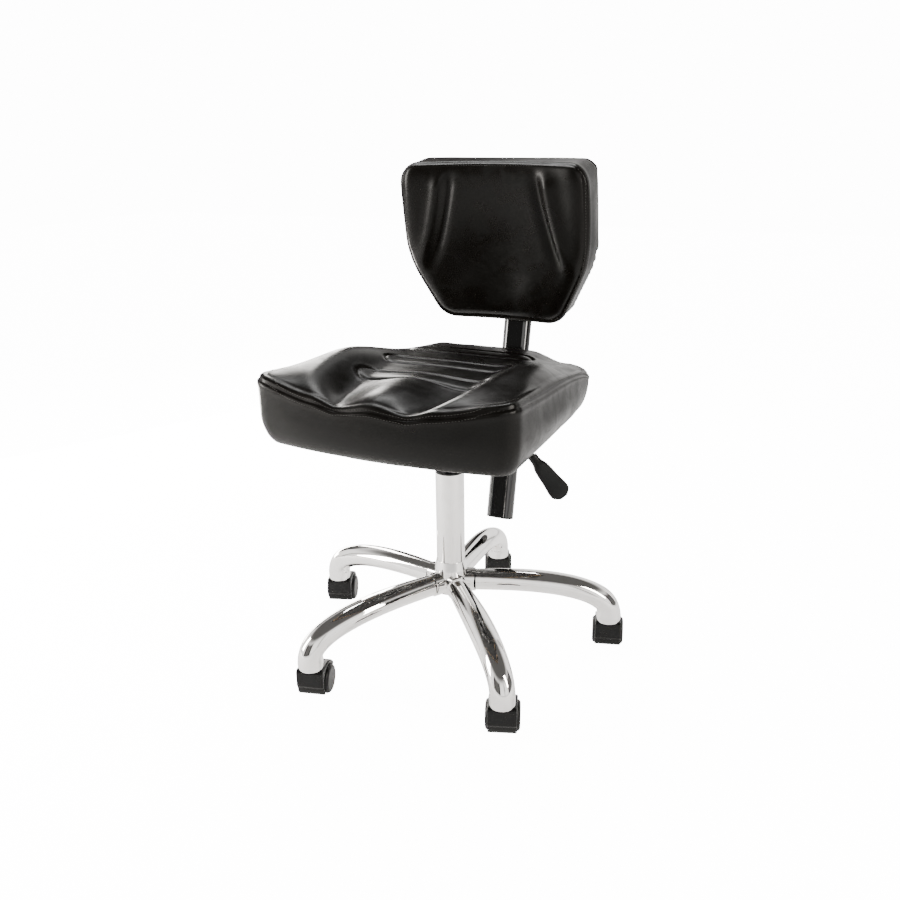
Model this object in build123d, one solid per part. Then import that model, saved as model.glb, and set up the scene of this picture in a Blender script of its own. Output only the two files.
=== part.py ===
from build123d import *
import math
import os

# Rolling stylist stool. Millimetres, +Z up, the seat faces -Y and the sitter's left is +X.
# The origin is on the floor, under the axis of the column.

# ---------------------------------------------------------------- driving dimensions
# five-star base
ARM_COUNT = 5
ARM_FIRST_ANGLE = -48.3      # direction of arm 1 about +Z
STEM_CIRCLE_R = 284.0        # column axis to caster stem
ARM_Z = 138.0                # height of an arm's centre line at the hub
ARM_END_Z = 58.0             # underside of an arm's end
ARM_STRAIGHT_END = 14.0      # upright length at the end of an arm
ARM_BEND_START_R = 70.0      # where an arm starts to bend down
ARM_BEND_POWER = 2.3         # roundness of the bend
ARM_ROOT_W = 36.0
ARM_ROOT_H = 38.0
ARM_END_D = 41.0
ARM_SWELL = 7.0              # extra width half way along
ARM_WALL = 2.0
ARM_SECTIONS = 13             # sections its skin is drawn through

HUB_BOTTOM_Z = 120.0
HUB_TOP_Z = 164.0
HUB_CONE_TOP_Z = 180.0
HUB_R = 29.0
COLLAR_END_R = 44.0          # column axis to the face an arm is welded to
COLLAR_W = 40.0
COLLAR_H = 42.0

# column and gas spring
COLUMN_R = 25.0
COLUMN_WALL = 2.0
COLUMN_BOTTOM_Z = 122.0
COLUMN_TOP_Z = 345.0
COLUMN_FLOOR_T = 4.0
BUSH_LENGTH = 83.0
BUSH_FLANGE_T = 3.0
CYLINDER_R = 14.0
CYLINDER_BORE_R = 11.5
CYLINDER_BOTTOM_Z = 142.0
CYLINDER_GLAND_T = 10.0
ROD_R = 5.0
ROD_BOTTOM_Z = 108.0
PISTON_T = 12.0
PISTON_TOP_GAP = 8.0
RACE_R = 18.0
RACE_T = 2.0
BALL_R = 2.0
BALL_COUNT = 12
BALL_CIRCLE_R = 12.0
SHOULDER_R = 9.0
SHOULDER_T = 4.0
CLIP_R = 12.0
CLIP_T = 3.0
LIFT_STROKE = 140.0

# seat mechanism
WEB_TOP_Z = 414.0
SHEET_T = 3.0
SOCKET_LENGTH = 42.0
SOCKET_R = 22.0
TAPER_DROP = 0.7             # radius lost over the taper
HOUSING_X = 96.0
HOUSING_Y = 84.0
PLATE_BOTTOM_Z = 439.0
PLATE_X = 160.0
PLATE_Y = 200.0
PLATE_BOLT_X = 124.0         # bolt to bolt across the seat
PLATE_BOLT_Y = 164.0         # bolt to bolt along the seat
BOLT_R = 4.0
BOLT_HEAD_R = 6.5
BOLT_HEAD_T = 5.0
TEE_BARREL_R = 5.2
TEE_FLANGE_R = 10.0
TEE_FLANGE_T = 1.2

# gas lever
LEVER_Z = 421.0
LEVER_ROD_R = 5.0
LEVER_PIVOT_X = 33.0
LEVER_TIP_X = -5.0
LEVER_BEND_X = 127.0
LEVER_BEND_R = 18.0
LEVER_DROP_ANGLE = 48.0
LEVER_PIN_R = 3.0
LEVER_LIFT_ANGLE = 2.8
RELEASE_PIN_R = 4.0
RELEASE_PIN_LENGTH = 17.4
RELEASE_GAP = 0.6
NECK_START = 36.0            # along the bent rod, from its bend
NECK_END = 60.0
NECK_R = 7.0
PADDLE_START = 54.0
PADDLE_END = 121.0
PADDLE_ROOT_W = 20.0
PADDLE_TIP_W = 29.0
PADDLE_T = 9.0
PADDLE_TWIST = 65.0
ROD_IN_PADDLE_END = 78.0

# seat
SEAT_BOTTOM_Z = 440.0
SEAT_FRONT_Y = -266.0
SEAT_REAR_Y = 192.0
SEAT_FRONT_HALF_W = 217.0
SEAT_REAR_HALF_W = 199.0
SEAT_FRONT_CORNER_Y = -243.0
SEAT_REAR_CORNER_Y = 166.0
SEAT_CORNER_R = 42.0
SEAT_FRONT_TOP_Z = 546.0
SEAT_CREST_Z = 555.0
SEAT_CENTRE_Z = 531.0
SEAT_REAR_TOP_Z = 522.0
SEAT_CREST_HALF_W = 152.0
SEAT_CREST_FRONT_Y = -190.0
SEAT_CREST_REAR_Y = -20.0
SEAT_SADDLE_Y = 70.0
SEAT_SADDLE_Z = 527.0
SEAT_UNDER_R = 20.0
BOARD_INSET = 24.0
BOARD_T = 12.0
COVER_T = 1.0

# back post and its sleeve
POST_LEAN = 13.0             # degrees behind upright
POST_Y = 265.0               # post axis at the height POST_Z
POST_Z = 350.0
POST_W = 54.0
POST_D = 30.0
POST_WALL = 2.0
POST_FOOT = -180.0           # along the post, from that height
POST_TOP = 318.0
CAP_T = 3.0
PLUG_T = 14.0
SLEEVE_FOOT = 58.0
SLEEVE_TOP = 126.0
SLEEVE_WALL = 3.0
LINER_T = 2.4
BRACKET_START_Y = 50.0
BRACKET_W = 56.0
BRACKET_T = 6.0
BRACKET_BOLT_X = 32.0        # bolt to bolt across the bracket
BRACKET_BOLT_YS = (60.0, 92.0)
CLAMP_AT = 92.0              # screw's height along the post
CLAMP_SCREW_R = 5.0
CLAMP_NUT_R = 10.0
CLAMP_NUT_T = 9.0
KNOB_GAP = 4.0
KNOB_R = 16.0
KNOB_LOBE_R = 6.0
KNOB_LOBES = 5
KNOB_T = 22.0
KNOB_BORE_DEPTH = 14.0

# tilting back
BACK_TILT = 8.3              # degrees in front of upright
BACK_Y = 222.0               # front seam of the pad at its lower edge
BACK_Z = 578.0
BACK_HEIGHT = 276.0
BACK_BOTTOM_HALF_W = 116.0
BACK_SHOULDER_HALF_W = 173.0
BACK_TOP_HALF_W = 176.0
BACK_SHOULDER_Z = 112.0
BACK_CORNER_R = 36.0
BACK_WING = 26.0             # how far the wings stand forward
BACK_FOAM_T = 48.0           # front seam to the board
BACK_PAD_T = 68.0            # front seam to the rear edge of the upholstery
BACK_BOARD_T = 10.0
BACK_BOARD_INSET = 14.0
BACK_SHELL_T = 12.0
BACK_SHELL_WALL = 3.0
BACK_PLATE_W = 90.0
BACK_PLATE_H = 84.0
BACK_SCREW_X = 70.0
BACK_SCREW_Z = 64.0
SCREW_R = 3.0
SCREW_HEAD_R = 5.5
SCREW_HEAD_T = 3.0
SCREW_LENGTH = 11.0
HINGE_AT = 304.0             # hinge's height along the post
HINGE_FORWARD = 30.0         # hinge in front of the post's axis
HINGE_BOLT_R = 4.0
HINGE_EYE_R = 11.0
HEAD_EAR_IN = 18.0           # column of the head's ears, from the middle plane
HEAD_EAR_T = 4.0
BACK_EAR_T = 4.0
WASHER_T = 0.8

# casters
CASTER_ANGLES = (110.0, 107.0, 113.0, 110.0, 105.0)   # where each one trails to
CASTER_TRAIL = 22.0
WHEEL_R = 25.0
WHEEL_INNER = 10.4
WHEEL_OUTER = 28.0
AXLE_R = 3.0
AXLE_HALF = 25.0
HOOD_HALF_W = 23.5
HOOD_WEB_HALF = 10.0
HOOD_TOP_Z = 56.7
HOOD_FRONT = -13.0
HOOD_INNER_R = 26.5
HOOD_FOOT_Z = 8.0
HOOD_REAR_Z = 37.0
STEM_R = 5.5
STEM_BOTTOM_Z = 26.0
STEM_TOP_Z = 80.0
STEM_FLANGE_R = 9.0
STEM_FLANGE_T = 1.0
SOCKET_SLEEVE_R = 8.0
SOCKET_TOP_Z = 84.0
SOCKET_FLOOR_T = 4.0
GRIP_Z = 70.0
GRIP_H = 4.0
GRIP_GROOVE_R = 4.7

# clearances
RUN = 0.06                   # radial, for what turns or slides
FIT = 0.04                   # radial, for what is pressed or welded in
SOFT_GAP = 0.3               # between a cushion and its neighbours

MIDDLE_BOTTOM = (Align.CENTER, Align.CENTER, Align.MIN)

# ---------------------------------------------------------------- derived places
COLUMN_BORE_R = COLUMN_R - COLUMN_WALL
CYLINDER_TOP_Z = WEB_TOP_Z
SOCKET_BOTTOM_Z = WEB_TOP_Z - SOCKET_LENGTH
PLATE_TOP_Z = PLATE_BOTTOM_Z + SHEET_T
BOARD_BOTTOM_Z = PLATE_TOP_Z + COVER_T
BOARD_TOP_Z = BOARD_BOTTOM_Z + BOARD_T
ROD_SHOULDER_Z = COLUMN_BOTTOM_Z + COLUMN_FLOOR_T + 2 * RACE_T + 2 * BALL_R + 0.1
CYLINDER_BORE_TOP_Z = CYLINDER_TOP_Z - 14.0
RELEASE_TOP_Z = LEVER_Z - LEVER_ROD_R - RELEASE_GAP
HOOD_R = HOOD_TOP_Z - WHEEL_R
POST_FRAME = Location((0, POST_Y, POST_Z), (-POST_LEAN, 0, 0))
BACK_FRAME = Location((0, BACK_Y, BACK_Z), (BACK_TILT, 0, 0))
SLEEVE_W = POST_W + 2 * (RUN + LINER_T + SLEEVE_WALL)
SLEEVE_D = POST_D + 2 * (RUN + LINER_T + SLEEVE_WALL)


# ---------------------------------------------------------------- small helpers
def rod(radius, bottom, top):
    """A cylinder on the z axis between two heights."""
    return Pos(0, 0, bottom) * Cylinder(radius, top - bottom, align=MIDDLE_BOTTOM)


def ring(outer, inner, bottom, top):
    """A tube on the z axis between two heights."""
    return rod(outer, bottom, top) - rod(inner, bottom - 1, top + 1)


def block(x_size, y_size, bottom, top):
    """A box centred on the z axis between two heights."""
    return Pos(0, 0, bottom) * Box(x_size, y_size, top - bottom, align=MIDDLE_BOTTOM)


def cross_rod(radius, half_length):
    """A cylinder along x, centred on the origin."""
    return Rot(0, 90, 0) * Cylinder(radius, 2 * half_length)


def oval(width, depth, bottom, top):
    """An upright bar of flat oval section."""
    return extrude(Pos(0, 0, bottom) * SlotOverall(width, depth), top - bottom)


def arm_angle(index):
    return ARM_FIRST_ANGLE + index * 360 / ARM_COUNT


def at_arm(index):
    return Rot(0, 0, arm_angle(index))


def at_stem(index):
    """The caster's own frame: the stem's axis is z and the caster trails to +x."""
    turned = math.radians(arm_angle(index))
    place = (STEM_CIRCLE_R * math.cos(turned), STEM_CIRCLE_R * math.sin(turned), 0)
    return Location(place, (0, 0, CASTER_ANGLES[index]))


def in_post(y_side, z_along):
    """A point of the post's middle plane, in the stool's frame."""
    return (POST_FRAME * Pos(0, y_side, z_along)).position


# ---------------------------------------------------------------- five-star base
def arm_centre_line():
    """Closely spaced points of an arm's centre line: level, a superellipse quarter, then upright."""
    power = 2 / ARM_BEND_POWER
    bend_foot_z = ARM_END_Z + ARM_STRAIGHT_END
    points = [(COLLAR_END_R, ARM_Z)]
    for turn in range(0, 91):
        across = math.sin(math.radians(turn)) ** power
        up = max(0.0, math.cos(math.radians(turn))) ** power
        radius = ARM_BEND_START_R + (STEM_CIRCLE_R - ARM_BEND_START_R) * across
        points.append((radius, bend_foot_z + (ARM_Z - bend_foot_z) * up))
    return points + [(STEM_CIRCLE_R, ARM_END_Z)]


def arm_stations():
    """Section centres, evenly spaced along an arm, with the dip of the line at each."""
    points = arm_centre_line()
    travelled = [0.0]
    for start, end in zip(points, points[1:]):
        travelled.append(travelled[-1] + math.dist(start, end))
    stations = []
    for number in range(ARM_SECTIONS):
        goal = travelled[-1] * number / (ARM_SECTIONS - 1)
        index = 0
        while index < len(points) - 2 and travelled[index + 1] < goal:
            index += 1
        start, end = points[index], points[index + 1]
        share = (goal - travelled[index]) / (travelled[index + 1] - travelled[index])
        r = start[0] + share * (end[0] - start[0])
        z = start[1] + share * (end[1] - start[1])
        dip = math.degrees(math.atan2(start[1] - end[1], end[0] - start[0]))
        stations.append((r, z, dip))
    return stations


def arm_skin(shrink):
    """An arm's loft; shrink is taken off every side of its sections."""
    stations = arm_stations()
    reach = STEM_CIRCLE_R - COLLAR_END_R
    sections = []
    for r, z, dip in stations:
        share = (r - COLLAR_END_R) / reach
        swell = ARM_SWELL * math.sin(math.pi * share)
        width = ARM_ROOT_W + (ARM_END_D - ARM_ROOT_W) * share + swell
        height = ARM_ROOT_H + (ARM_END_D - ARM_ROOT_H) * share
        along = (math.cos(math.radians(dip)), 0, -math.sin(math.radians(dip)))
        plane = Plane(origin=(r, 0, z), x_dir=(0, 1, 0), z_dir=along)
        sections.append(plane * Ellipse(width / 2 - shrink, height / 2 - shrink))
    return loft(sections)


def make_arm():
    return arm_skin(0) - arm_skin(ARM_WALL)


def make_hub():
    body = rod(HUB_R, HUB_BOTTOM_Z, HUB_TOP_Z)
    cone_t = HUB_CONE_TOP_Z - HUB_TOP_Z
    body += Pos(0, 0, HUB_TOP_Z) * Cone(HUB_R, COLUMN_R + 0.8, cone_t, align=MIDDLE_BOTTOM)
    face = Plane(origin=(0, 0, ARM_Z), x_dir=(0, 1, 0), z_dir=(1, 0, 0))
    collar = extrude(face * Ellipse(COLLAR_W / 2, COLLAR_H / 2), COLLAR_END_R)
    for index in range(ARM_COUNT):
        body += at_arm(index) * collar
    body = body & rod(COLLAR_END_R + 1, HUB_BOTTOM_Z, HUB_CONE_TOP_Z)
    return body - rod(COLUMN_R + FIT, HUB_BOTTOM_Z - 1, HUB_CONE_TOP_Z + 1)


def make_stem_sockets():
    """A floor disc and a sleeve welded into the mouth of each arm."""
    mouth = rod(ARM_END_D / 2 - ARM_WALL - FIT, ARM_END_Z, ARM_END_Z + SOCKET_FLOOR_T)
    socket = mouth + rod(SOCKET_SLEEVE_R, ARM_END_Z, SOCKET_TOP_Z)
    socket -= rod(STEM_R + FIT, ARM_END_Z - 1, SOCKET_TOP_Z + 1)
    return [at_stem(index) * socket for index in range(ARM_COUNT)]


def make_caster_stems():
    """Each stem with its flange, and the split grip ring in its groove."""
    stem = rod(STEM_R, STEM_BOTTOM_Z, STEM_TOP_Z)
    stem += rod(STEM_FLANGE_R, ARM_END_Z - STEM_FLANGE_T, ARM_END_Z)
    stem -= ring(STEM_R + 1, GRIP_GROOVE_R, GRIP_Z, GRIP_Z + GRIP_H)
    grip = ring(STEM_R + FIT / 2, GRIP_GROOVE_R + FIT / 2, GRIP_Z + FIT, GRIP_Z + GRIP_H - FIT)
    grip -= Pos(STEM_R, 0, GRIP_Z + GRIP_H / 2) * Box(2 * STEM_R, 1.5, 2 * GRIP_H)
    pieces = []
    for index in range(ARM_COUNT):
        pieces += [at_stem(index) * stem, at_stem(index) * grip]
    return pieces


# ---------------------------------------------------------------- column and gas spring
def make_column_tube():
    tube = ring(COLUMN_R, COLUMN_BORE_R, COLUMN_BOTTOM_Z, COLUMN_TOP_Z)
    floor_top = COLUMN_BOTTOM_Z + COLUMN_FLOOR_T
    return tube + ring(COLUMN_R, ROD_R + RUN, COLUMN_BOTTOM_Z, floor_top)


def make_guide_bush():
    outer = COLUMN_BORE_R - FIT
    bush = ring(outer, CYLINDER_R + RUN, COLUMN_TOP_Z - BUSH_LENGTH, COLUMN_TOP_Z)
    flange_top = COLUMN_TOP_Z + BUSH_FLANGE_T
    flange = ring(COLUMN_R, CYLINDER_R + RUN, COLUMN_TOP_Z, flange_top)
    return bush + flange


def make_thrust_bearing():
    low = COLUMN_BOTTOM_Z + COLUMN_FLOOR_T
    high = low + RACE_T + 2 * BALL_R
    pieces = [ring(RACE_R, ROD_R + 1, low, low + RACE_T), ring(RACE_R, ROD_R + 1, high, high + RACE_T)]
    for index in range(BALL_COUNT):
        turned = Rot(0, 0, index * 360 / BALL_COUNT)
        pieces.append(turned * Pos(BALL_CIRCLE_R, 0, low + RACE_T + BALL_R) * Sphere(BALL_R))
    return pieces


def make_piston_rod():
    piston_top = CYLINDER_BORE_TOP_Z - PISTON_TOP_GAP
    body = rod(ROD_R, ROD_BOTTOM_Z, piston_top)
    body += rod(SHOULDER_R, ROD_SHOULDER_Z, ROD_SHOULDER_Z + SHOULDER_T)
    return body + rod(CYLINDER_BORE_R - RUN, piston_top - PISTON_T, piston_top)


def make_retaining_clip():
    top = COLUMN_BOTTOM_Z - 0.5
    return ring(CLIP_R, ROD_R + FIT, top - CLIP_T, top)


def taper(radius_low, bottom, top):
    return Pos(0, 0, bottom) * Cone(radius_low, radius_low - TAPER_DROP, top - bottom, align=MIDDLE_BOTTOM)


def make_gas_cylinder():
    body = rod(CYLINDER_R, CYLINDER_BOTTOM_Z, SOCKET_BOTTOM_Z)
    body += taper(CYLINDER_R, SOCKET_BOTTOM_Z, CYLINDER_TOP_Z)
    body -= rod(CYLINDER_BORE_R, CYLINDER_BOTTOM_Z + CYLINDER_GLAND_T, CYLINDER_BORE_TOP_Z)
    body -= rod(ROD_R + RUN, CYLINDER_BOTTOM_Z - 1, CYLINDER_BOTTOM_Z + CYLINDER_GLAND_T + 1)
    return body - rod(RELEASE_PIN_R + RUN, CYLINDER_BORE_TOP_Z - 1, CYLINDER_TOP_Z + 1)


def make_release_pin():
    return rod(RELEASE_PIN_R, RELEASE_TOP_Z - RELEASE_PIN_LENGTH, RELEASE_TOP_Z)


# ---------------------------------------------------------------- seat mechanism
def lever_pin_shape(radius):
    half = HOUSING_Y / 2
    return Pos(LEVER_PIVOT_X, 0, LEVER_Z) * Rot(90, 0, 0) * Cylinder(radius, 2 * half + 2)


def make_taper_housing():
    outer = block(HOUSING_X, HOUSING_Y, WEB_TOP_Z - SHEET_T, PLATE_BOTTOM_Z)
    inner = block(HOUSING_X - 2 * SHEET_T, HOUSING_Y - 2 * SHEET_T, WEB_TOP_Z, PLATE_BOTTOM_Z + 1)
    body = outer - inner + rod(SOCKET_R, SOCKET_BOTTOM_Z, WEB_TOP_Z - SHEET_T)
    body -= taper(CYLINDER_R + FIT, SOCKET_BOTTOM_Z, WEB_TOP_Z)
    slot_w = 2 * LEVER_ROD_R + 4
    slot = Pos(HOUSING_X / 2, 0, 0) * block(4 * SHEET_T, slot_w, WEB_TOP_Z, PLATE_BOTTOM_Z + 1)
    return body - slot - lever_pin_shape(LEVER_PIN_R + FIT)


def make_lever_pin():
    return lever_pin_shape(LEVER_PIN_R)


def plate_bolt_places():
    half_x, half_y = PLATE_BOLT_X / 2, PLATE_BOLT_Y / 2
    return [(x, y) for x in (-half_x, half_x) for y in (-half_y, half_y)]


def bracket_bolt_places():
    return [(x, y) for x in (-BRACKET_BOLT_X / 2, BRACKET_BOLT_X / 2) for y in BRACKET_BOLT_YS]


def all_bolt_places():
    return plate_bolt_places() + bracket_bolt_places()


def drilled(body, places, radius):
    """Upright holes right through a body."""
    drill = rod(radius, 0, 1000)
    for x, y in places:
        body -= Pos(x, y, 0) * drill
    return body


def make_mechanism_plate():
    plate = block(PLATE_X, PLATE_Y, PLATE_BOTTOM_Z, PLATE_TOP_Z)
    plate = fillet(plate.edges().filter_by(Axis.Z), 14)
    return drilled(plate, all_bolt_places(), BOLT_R + 0.3)


def hex_bolt(under_head_z):
    """A bolt with its head down, its thread ending in the board."""
    head_low = under_head_z - BOLT_HEAD_T
    head = extrude(Pos(0, 0, head_low) * RegularPolygon(BOLT_HEAD_R, 6), BOLT_HEAD_T)
    return head + rod(BOLT_R, head_low + 1, BOARD_TOP_Z - 1)


def make_seat_bolts():
    return [Pos(x, y, 0) * hex_bolt(PLATE_BOTTOM_Z) for x, y in plate_bolt_places()]


def make_bracket_bolts():
    under = PLATE_BOTTOM_Z - BRACKET_T
    return [Pos(x, y, 0) * hex_bolt(under) for x, y in bracket_bolt_places()]


def make_tee_nuts():
    nut = rod(TEE_BARREL_R, BOARD_BOTTOM_Z + 1, BOARD_TOP_Z)
    nut += rod(TEE_FLANGE_R, BOARD_TOP_Z, BOARD_TOP_Z + TEE_FLANGE_T)
    nut -= rod(BOLT_R + FIT, BOARD_BOTTOM_Z, BOARD_TOP_Z + 5)
    return [Pos(x, y, 0) * nut for x, y in all_bolt_places()]


# ---------------------------------------------------------------- gas lever
def lever_slope(distance):
    """Frame on the sloping part of the lever: z runs down the rod, x stays level across it."""
    drop = math.radians(LEVER_DROP_ANGLE)
    along = (math.cos(drop), 0, -math.sin(drop))
    start = (LEVER_BEND_X + distance * along[0], 0, LEVER_Z + distance * along[2])
    return Plane(origin=start, x_dir=(0, -1, 0), z_dir=along)


def make_lever_rod():
    bend = Vector(LEVER_BEND_X, 0, LEVER_Z)
    tip = Vector(LEVER_TIP_X, 0, LEVER_Z)
    end = lever_slope(ROD_IN_PADDLE_END).origin
    path = FilletPolyline(tip, bend, end, radius=LEVER_BEND_R)
    section = Plane(origin=tip, x_dir=(0, 1, 0), z_dir=(1, 0, 0)) * Circle(LEVER_ROD_R)
    return sweep(section, path=path) - lever_pin_shape(LEVER_PIN_R + RUN)


def make_lever_paddle():
    neck_plane = lever_slope(NECK_START)
    neck = extrude(neck_plane * Circle(NECK_R), NECK_END - NECK_START)
    length = PADDLE_END - PADDLE_START
    half_root, half_tip = PADDLE_ROOT_W / 2, PADDLE_TIP_W / 2
    corners = [(-half_root, 0), (half_root, 0), (half_tip, length), (-half_tip, length - 6)]
    outline = fillet(Polygon(*corners, align=None).vertices(), 6)
    blade = extrude(outline, PADDLE_T / 2, both=True)
    blade = fillet(blade.edges().filter_by(GeomType.LINE).filter_by_position(Axis.Z, 0, PADDLE_T), 2)
    lying = lever_slope(PADDLE_START).location * Rot(0, 0, PADDLE_TWIST) * Rot(90, 0, 0)
    bore = extrude(neck_plane * Circle(LEVER_ROD_R + FIT), ROD_IN_PADDLE_END - NECK_START)
    return neck + lying * blade - bore


# ---------------------------------------------------------------- seat
def seat_outline(inset):
    """Plan of the seat: four arcs, wider at the front, with rounded corners."""
    front_l = (-SEAT_FRONT_HALF_W, SEAT_FRONT_CORNER_Y)
    front_r = (SEAT_FRONT_HALF_W, SEAT_FRONT_CORNER_Y)
    rear_l = (-SEAT_REAR_HALF_W, SEAT_REAR_CORNER_Y)
    rear_r = (SEAT_REAR_HALF_W, SEAT_REAR_CORNER_Y)
    side_y = (SEAT_FRONT_CORNER_Y + SEAT_REAR_CORNER_Y) / 2
    side_x = (SEAT_FRONT_HALF_W + SEAT_REAR_HALF_W) / 2 + 2
    front = ThreePointArc(front_l, (0, SEAT_FRONT_Y), front_r)
    right = ThreePointArc(front_r, (side_x, side_y), rear_r)
    rear = ThreePointArc(rear_r, (0, SEAT_REAR_Y), rear_l)
    left = ThreePointArc(rear_l, (-side_x, side_y), front_l)
    face = make_face([front, right, rear, left])
    face = fillet(face.vertices(), SEAT_CORNER_R)
    return offset(face, -inset) if inset else face


def seat_top_profile():
    """Side view of the seat: what is kept below the crest line."""
    margin = 20
    low = SEAT_BOTTOM_Z - margin
    points = [
        (SEAT_FRONT_Y - margin, low),
        (SEAT_FRONT_Y - margin, SEAT_FRONT_TOP_Z),
        (SEAT_FRONT_CORNER_Y, SEAT_FRONT_TOP_Z),
        (SEAT_CREST_FRONT_Y, SEAT_CREST_Z),
        (SEAT_CREST_REAR_Y, SEAT_CREST_Z),
        (SEAT_SADDLE_Y, SEAT_SADDLE_Z),
        (SEAT_REAR_Y + margin, SEAT_REAR_TOP_Z),
        (SEAT_REAR_Y + margin, low),
    ]
    side = Plane(origin=(0, 0, 0), x_dir=(0, 1, 0), z_dir=(1, 0, 0))
    return extrude(side * Polygon(*points, align=None), 2 * SEAT_FRONT_HALF_W, both=True)


def make_seat_cushion():
    body = extrude(Pos(0, 0, SEAT_BOTTOM_Z) * seat_outline(0), SEAT_CREST_Z - SEAT_BOTTOM_Z + 10)
    body = fillet(body.faces().sort_by(Axis.Z)[0].edges(), SEAT_UNDER_R)
    body = body & seat_top_profile()
    sag = SEAT_CREST_Z - SEAT_CENTRE_Z
    dish_r = (SEAT_CREST_HALF_W ** 2 + sag ** 2) / (2 * sag)
    body -= Pos(0, 0, SEAT_CENTRE_Z + dish_r) * Rot(90, 0, 0) * Cylinder(dish_r, 700)
    pocket_top = BOARD_TOP_Z + TEE_FLANGE_T + SOFT_GAP
    pocket = Pos(0, 0, SEAT_BOTTOM_Z - 1) * seat_outline(BOARD_INSET - SOFT_GAP)
    return body - extrude(pocket, pocket_top - SEAT_BOTTOM_Z + 1)


def make_seat_board():
    board = extrude(Pos(0, 0, BOARD_BOTTOM_Z) * seat_outline(BOARD_INSET), BOARD_T)
    return drilled(board, all_bolt_places(), TEE_BARREL_R + FIT)


def make_seat_under_cover():
    sheet = extrude(Pos(0, 0, PLATE_TOP_Z) * seat_outline(BOARD_INSET + 3), COVER_T)
    return drilled(sheet, all_bolt_places(), BOLT_R + 0.3)


# ---------------------------------------------------------------- back post
def make_post_sleeve():
    liner_w = POST_W + 2 * (RUN + LINER_T)
    liner_d = POST_D + 2 * (RUN + LINER_T)
    body = oval(SLEEVE_W, SLEEVE_D, SLEEVE_FOOT, SLEEVE_TOP)
    body -= oval(liner_w, liner_d, SLEEVE_FOOT - 1, SLEEVE_TOP + 1)
    nut = Pos(0, SLEEVE_D / 2 - 1, CLAMP_AT) * Rot(-90, 0, 0)
    body += nut * Cylinder(CLAMP_NUT_R, CLAMP_NUT_T + 1, align=MIDDLE_BOTTOM)
    return POST_FRAME * (body - clamp_bore(CLAMP_SCREW_R + RUN))


def clamp_bore(radius):
    """The clamp screw's path, from inside the post's bore to the outside."""
    start = Pos(0, POST_D / 2 - 1, CLAMP_AT) * Rot(-90, 0, 0)
    return start * Cylinder(radius, SLEEVE_D, align=MIDDLE_BOTTOM)


def make_sleeve_liner():
    outer_w = POST_W + 2 * (RUN + LINER_T - FIT)
    outer_d = POST_D + 2 * (RUN + LINER_T - FIT)
    body = oval(outer_w, outer_d, SLEEVE_FOOT, SLEEVE_TOP)
    body -= oval(POST_W + 2 * RUN, POST_D + 2 * RUN, SLEEVE_FOOT - 1, SLEEVE_TOP + 1)
    return POST_FRAME * (body - clamp_bore(CLAMP_SCREW_R + RUN))


def make_back_bracket():
    """A flat bar under the seat, butted and welded to the front of the sleeve."""
    length = POST_Y + POST_W - BRACKET_START_Y
    bar = Pos(0, BRACKET_START_Y, PLATE_BOTTOM_Z - BRACKET_T)
    bar *= Box(BRACKET_W, length, BRACKET_T, align=(Align.CENTER, Align.MIN, Align.MIN))
    behind = Pos(0, 0, (SLEEVE_FOOT + SLEEVE_TOP) / 2)
    behind *= Box(200, 200, 400, align=(Align.CENTER, Align.MIN, Align.CENTER))
    bar -= POST_FRAME * behind
    bar -= POST_FRAME * oval(SLEEVE_W, SLEEVE_D, SLEEVE_FOOT - 50, SLEEVE_TOP + 50)
    return drilled(bar, bracket_bolt_places(), BOLT_R + 0.3)


def make_post_tube():
    outer = oval(POST_W, POST_D, POST_FOOT, POST_TOP)
    wall = 2 * POST_WALL
    return POST_FRAME * (outer - oval(POST_W - wall, POST_D - wall, POST_FOOT - 1, POST_TOP + 1))


def make_post_caps():
    inside = 2 * (POST_WALL + FIT)
    low = oval(POST_W, POST_D, POST_FOOT - CAP_T, POST_FOOT)
    low += oval(POST_W - inside, POST_D - inside, POST_FOOT, POST_FOOT + PLUG_T)
    high = oval(POST_W, POST_D, POST_TOP, POST_TOP + CAP_T)
    high += oval(POST_W - inside, POST_D - inside, POST_TOP - PLUG_T, POST_TOP)
    return [POST_FRAME * low, POST_FRAME * high]


def make_clamp_screw():
    length = SLEEVE_D / 2 + CLAMP_NUT_T + KNOB_GAP + KNOB_BORE_DEPTH - POST_D / 2 - SOFT_GAP
    start = Pos(0, POST_D / 2 + SOFT_GAP, CLAMP_AT) * Rot(-90, 0, 0)
    return POST_FRAME * start * Cylinder(CLAMP_SCREW_R, length, align=MIDDLE_BOTTOM)


def make_clamp_knob():
    outline = Circle(KNOB_R)
    for index in range(KNOB_LOBES):
        outline += Rot(0, 0, index * 360 / KNOB_LOBES) * Pos(KNOB_R - 1, 0) * Circle(KNOB_LOBE_R)
    grip = extrude(fillet(outline.vertices(), 4), KNOB_T)
    grip = fillet(grip.faces().sort_by(Axis.Z)[-1].edges(), 1.5)
    grip -= Pos(0, 0, -1) * Cylinder(CLAMP_SCREW_R + FIT, KNOB_BORE_DEPTH + 1, align=MIDDLE_BOTTOM)
    start = Pos(0, SLEEVE_D / 2 + CLAMP_NUT_T + KNOB_GAP, CLAMP_AT) * Rot(-90, 0, 0)
    return POST_FRAME * start * grip


# ---------------------------------------------------------------- hinge of the back
def hinge_frame():
    """The hinge axis runs along x through this frame's origin, which leans with the post."""
    return POST_FRAME * Pos(0, -HINGE_FORWARD, HINGE_AT)


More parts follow.
